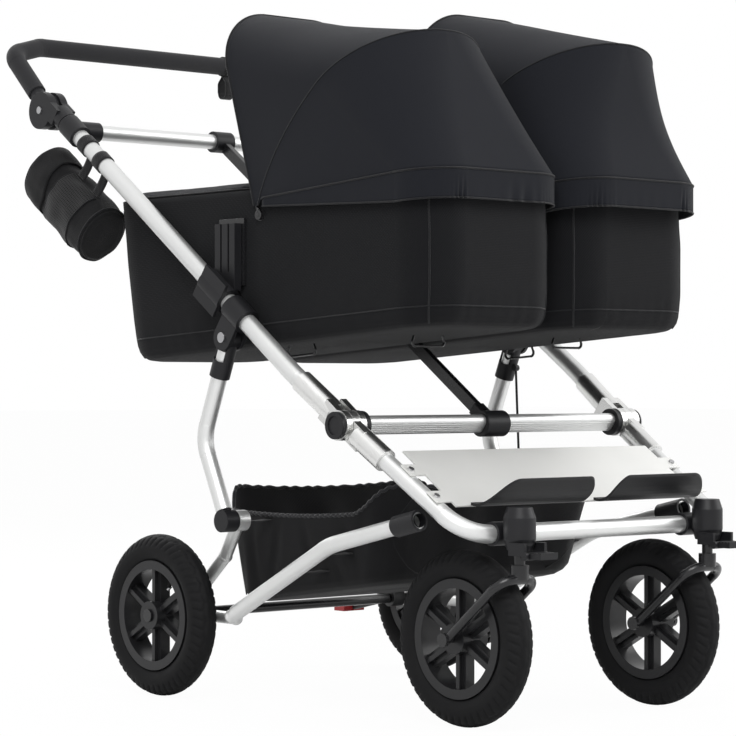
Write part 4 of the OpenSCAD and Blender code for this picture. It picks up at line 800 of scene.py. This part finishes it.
# Bottle bag: round cloth cup with a turned-down cuff, a net panel and a piped end
bag = {
    "x": -0.280, "halfX": 0.044, "halfDrop": 0.053, "drop": 0.114, "s": (0.673, 0.863), "wall": 0.0016,
    "cuff": 0.052, "around": 96, "piping": 0.0018, "slump": 0.004, "crease": 0.005, "mouth": 0.985}


def bagPoint(u, share, grow, shrink=1.0):  # share runs from the closed end to the mouth
    a = 2 * math.pi * u
    long = bag["s"][1] - bag["s"][0]
    loose = 0.35 + 0.65 * math.sin(math.pi * share)
    crease = bag["crease"] * wobble((math.cos(a), math.sin(a), share * 2.2), 2.1, 4.0) * loose
    slump = bag["slump"] * math.sin(math.pi * share) ** 2 * max(0.0, -math.sin(a))
    rx, rw = bag["halfX"] * shrink + grow + crease, bag["halfDrop"] * shrink + grow + crease + slump
    return onPush(bag["x"] + rx * math.cos(a), bag["s"][0] + long * share, -bag["drop"] + rw * math.sin(a))


# Share of the length and of the girth, from the middle of the closed end to the mouth
bagProfile = [
    (0.0, 0.0), (0.0, 0.60), (0.004, 0.80), (0.02, 0.90), (0.06, 0.955), (0.14, 0.985), (0.5, 0.985),
    (0.85, 0.955), (1.0, bag["mouth"])]


def bagWall(u, v):
    share, shrink = alongProfile(bagProfile, v)
    return bagPoint(u, share, -0.0012 if shrink > 0.9 else 0.0, shrink)


sack = Piece("bottle_bag_cloth")
sack.patch("bag", bag["around"], 56, bagWall, (0.29, 0.24))
bagCloth = sack.done("push_frame", wall=bag["wall"], stands=["bottle_bag"], slot="basket_fabric")
cuffPiece = Piece("bottle_bag_cuff")
cuffShare = bag["cuff"] / (bag["s"][1] - bag["s"][0])
cuffPiece.patch(
    "bag", bag["around"], 12,
    lambda u, v: bagPoint(
        u, 1.0 - cuffShare * v * (1 + 0.12 * math.sin(4 * math.pi * u + 1)),
        0.0006 + 0.0010 * math.sin(math.pi * v), bag["mouth"]), (0.29, 0.055))
cuffPiece.done("push_frame", wall=0.0014, offset=0.0, slot="basket_fabric")
netPatch = {"u": (0.30, 0.92), "low": 0.20, "slope": 0.10, "high": 0.42, "narrow": 0.06}


def netPoint(u, v, grow):  # the net is a slanting band round the bag
    first, last = netPatch["u"]
    share = netPatch["low"] + netPatch["slope"] * u + (netPatch["high"] - netPatch["narrow"] * u) * v
    return bagPoint(first + (last - first) * u, share, grow, bag["mouth"])


net = Piece("bottle_bag_net")
net.patch("net", 60, 24, lambda u, v: netPoint(u, v, 0.0004), (0.19, 0.085))
net.done("push_frame", wall=0.0006, offset=0.0, slot="basket_fabric")
bagTrim = Piece("bottle_bag_trim")
bagTrim.pipe("piping", [bagPoint(i / 96, 0.045, 0.0, 0.945) for i in range(96)], bag["piping"], 8, True)
bagTrim.pipe("piping", [bagPoint(i / 96, 1.0, 0.0, bag["mouth"]) for i in range(96)], bag["piping"], 8, True)
for (u0, v0), (u1, v1) in (((0, 0), (1, 0)), ((0, 1), (1, 1)), ((0, 0), (0, 1)), ((1, 0), (1, 1))):
    line = [netPoint(u0 + (u1 - u0) * i / 24, v0 + (v1 - v0) * i / 24, 0.0006) for i in range(25)]
    bagTrim.pipe("piping", line, 0.0011, 6)
bagTrim.done("push_frame", slot="basket_fabric")

# Bag straps wrap the push tube and run down to the bag
bagStraps = {"s": (0.717, 0.767), "width": 0.020, "wall": 0.0016, "gap": 0.0012, "start": -20, "tab": 0.006}
alongTube = onPush(0, 1, 0) - onPush(0, 0, 0)
hangers = Piece("bag_webbing")
for s in bagStraps["s"]:
    r = pushTube["d"] / 2 + bagStraps["gap"]
    path = []
    for i in range(30):
        a = math.radians(bagStraps["start"]) + i * 2 * math.pi / 32
        path.append(onPush(pushTube["x"] + r * math.cos(a), s, r * math.sin(a)))
    hangers.ribbon("webbing", path, alongTube, bagStraps["width"])
    reach = -bag["drop"] + bag["halfDrop"] + bagStraps["tab"]
    path = []
    for i in range(13):
        x = pushTube["x"] + 0.0112 + 0.004 * math.sin(math.pi * i / 12)
        path.append(onPush(x, s, -bagStraps["tab"] + reach * i / 12))
    hangers.ribbon("webbing", path, alongTube, bagStraps["width"])
hangers.done("push_frame", wall=bagStraps["wall"], offset=0.0, stands=["bag_straps"], slot="webbing")
print("bottle bag made")


# Wrist strap: a webbing loop sewn round the grip
wrist = {
    "x": 0.172, "grip": (0.582, 1.066), "gripD": 0.031, "drop": 0.048, "loop": 0.024, "width": 0.018,
    "wall": 0.0018, "legShare": 0.4}
loop = Piece("wrist_webbing")
r = wrist["gripD"] / 2 + 0.0014
gy, gz = wrist["grip"]
turns = [2 * math.pi * i / 40 for i in range(41)]
ring = [(wrist["x"], gy + r * math.sin(a), gz + r * math.cos(a)) for a in turns]
loop.ribbon("webbing", ring, (1, 0, 0), wrist["width"])
half = wrist["loop"] / 2 - 0.0012
leg = wrist["legShare"]
hang = []
for i in range(61):  # down one leg, round the bend and up the other
    t = i / 60
    if leg <= t <= 1 - leg:
        a = math.pi * (t - leg) / (1 - 2 * leg)
        y, z = gy - half * math.cos(a), gz - wrist["drop"] - half * math.sin(a)
    else:
        way, k = (-1, t / leg) if t < leg else (1, (1 - t) / leg)
        y, z = gy + way * (half * ease(0, 0.5, k) + 0.001), gz - r - (wrist["drop"] - r) * k
    hang.append((wrist["x"], y, z))
loop.ribbon("webbing", hang, (1, 0, 0), wrist["width"])
loop.done("handle", wall=wrist["wall"], offset=0.0, stands=["wrist_strap"], slot="webbing")
print("wrist strap made")


# Tyres: round section with a zigzag tread and shoulder blocks, and a valve
tyre = {
    "middle": 0.104, "section": 0.023, "seat": 141.5, "around": 420, "rows": 46, "blocks": 54,
    "groove": 0.0016, "tread": 78.0, "treadShare": 0.94, "rimR": 0.086,
    "valve": 0.0032, "valveTurn": 120, "valveLean": 0.0048}
wheels = {"rear": (0.290, 0.164, 0.127), "front": (0.198, -0.432, 0.127)}  # centres on the left side


def zigzag(value):
    return 4 * abs(value - math.floor(value) - 0.5) - 1


def treadDepth(turn, angle):  # turn counts wheel turns, angle is across the section in degrees
    s = angle / tyre["tread"]
    if abs(s) > 1:
        ring = ease(0.0, 0.6, 1 - abs(abs(angle) - 100.0) / 3.0)
        return -0.0006 * ring
    way = 1 if s > 0 else -1
    line = 0.30 + 0.07 * zigzag(turn * tyre["blocks"] / 2 + (0.5 if way > 0 else 0.0))
    cut = ease(0.075, 0.03, abs(abs(s) - line))
    phase = turn * tyre["blocks"] + 0.9 * abs(s) + (0.5 if way > 0 else 0.0)
    shoulder = ease(0.40, 0.5, abs(s)) * ease(1.0, 0.9, abs(s))
    slot = ease(0.20, 0.11, abs(phase - math.floor(phase) - 0.5)) * shoulder
    middle = ease(0.05, 0.02, abs(s - 0.06 * zigzag(turn * tyre["blocks"] / 2)))
    return tyre["groove"] * max(cut, slot, 0.6 * middle)


def treadPoint(centre, u, v):  # round the outside of the section, then across its seat on the rim
    a = 2 * math.pi * u
    if v <= tyre["treadShare"]:
        angle = tyre["seat"] * (2 * v / tyre["treadShare"] - 1)
        tube = tyre["section"] - 0.0001 - treadDepth(u, angle)
        r = tyre["middle"] + tube * math.cos(math.radians(angle))
        x = tube * math.sin(math.radians(angle))
    else:
        r = tyre["rimR"]
        across = (v - tyre["treadShare"]) / (1 - tyre["treadShare"])
        x = tyre["section"] * math.sin(math.radians(tyre["seat"])) * (1 - 2 * across)
    return centre + Vector((x, r * math.cos(a), r * math.sin(a)))


valveAngle = math.radians(tyre["valveTurn"])
valveWay = Vector((0.0, math.cos(valveAngle), math.sin(valveAngle)))
valveParts = (("tyre", tyre["valve"], 0.073, 0.052), ("steel", tyre["valve"] * 0.75, 0.053, 0.046))
for end, (x, y, z) in wheels.items():
    for name, side in sides.items():
        centre = Vector((side * x, y, z))
        ring = Piece(end + "_treaded_tyre_" + name)
        ring.patch("tyre", tyre["around"], tyre["rows"], lambda u, v: treadPoint(centre, u, v), (0.8, 0.12))
        lean = Vector((side * tyre["valveLean"], 0, 0))
        for kind, r, first, last in valveParts:
            stem = [centre + valveWay * (first + (last - first) * i / 6) + lean * (i / 6) for i in range(7)]
            ring.pipe(kind, stem, r, 10)
        ring.done(end + "_wheel_" + name, stands=[end + "_tyre_" + name], slot="tyre_rubber")
print("tyres made")


# Stage: pale floor and soft studio light
studio = {
    "floor": 40.0, "floorColour": (0.90, 0.90, 0.90), "floorGlow": 0.97, "worldLight": 0.55, "aimZ": 0.5}
ground = bmesh.new()
bmesh.ops.create_grid(ground, x_segments=1, y_segments=1, size=studio["floor"])
groundMesh = bpy.data.meshes.new("studioFloor")
ground.to_mesh(groundMesh)
ground.free()
floor = bpy.data.objects.new("studioFloor", groundMesh)
scene.collection.objects.link(floor)
paper = bpy.data.materials.new("floorPaper")
paper.use_nodes = True
tree = paper.node_tree
skin = tree.nodes["Principled BSDF"]
skin.inputs["Base Color"].default_value = tint(studio["floorColour"])
skin.inputs["Roughness"].default_value = 0.9
skin.inputs["Specular IOR Level"].default_value = 0.1
seen = tree.nodes.new("ShaderNodeLightPath")
glow = tree.nodes.new("ShaderNodeEmission")
blendNode = tree.nodes.new("ShaderNodeMixShader")
shareNode = tree.nodes.new("ShaderNodeMath")
shareNode.operation = "MULTIPLY"
shareNode.inputs[1].default_value = studio["floorGlow"]
tree.links.new(seen.outputs["Is Camera Ray"], shareNode.inputs[0])
tree.links.new(shareNode.outputs[0], blendNode.inputs[0])
tree.links.new(skin.outputs[0], blendNode.inputs[1])
tree.links.new(glow.outputs[0], blendNode.inputs[2])
tree.links.new(blendNode.outputs[0], tree.nodes["Material Output"].inputs["Surface"])
groundMesh.materials.append(paper)

world = bpy.data.worlds.new("studioWorld")
world.use_nodes = True
scene.world = world
tree = world.node_tree
sky = tree.nodes["Background"]
sky.inputs["Color"].default_value = (1.0, 1.0, 1.0, 1.0)
seen = tree.nodes.new("ShaderNodeLightPath")
both = tree.nodes.new("ShaderNodeMath")
both.operation = "MAXIMUM"
level = tree.nodes.new("ShaderNodeMapRange")
level.inputs["To Min"].default_value = studio["worldLight"]
level.inputs["To Max"].default_value = 1.0
tree.links.new(seen.outputs["Is Camera Ray"], both.inputs[0])
tree.links.new(seen.outputs["Is Glossy Ray"], both.inputs[1])
tree.links.new(both.outputs[0], level.inputs["Value"])
tree.links.new(level.outputs[0], sky.inputs["Strength"])

lamps = {
    "keyLamp": {"place": (-2.2, -2.6, 3.4), "size": 2.4, "power": 120.0},
    "fillLamp": {"place": (2.8, -2.2, 2.2), "size": 2.6, "power": 60.0},
    "backLamp": {"place": (0.5, 3.2, 3.0), "size": 2.4, "power": 70.0},
}
for name, lamp in lamps.items():
    light = bpy.data.lights.new(name, "AREA")
    light.energy = lamp["power"]
    light.size = lamp["size"]
    obj = bpy.data.objects.new(name, light)
    obj.location = lamp["place"]
    aim = Vector((0.0, 0.0, studio["aimZ"])) - Vector(lamp["place"])
    obj.rotation_euler = aim.to_track_quat("-Z", "Y").to_euler()
    scene.collection.objects.link(obj)
print("stage lit")
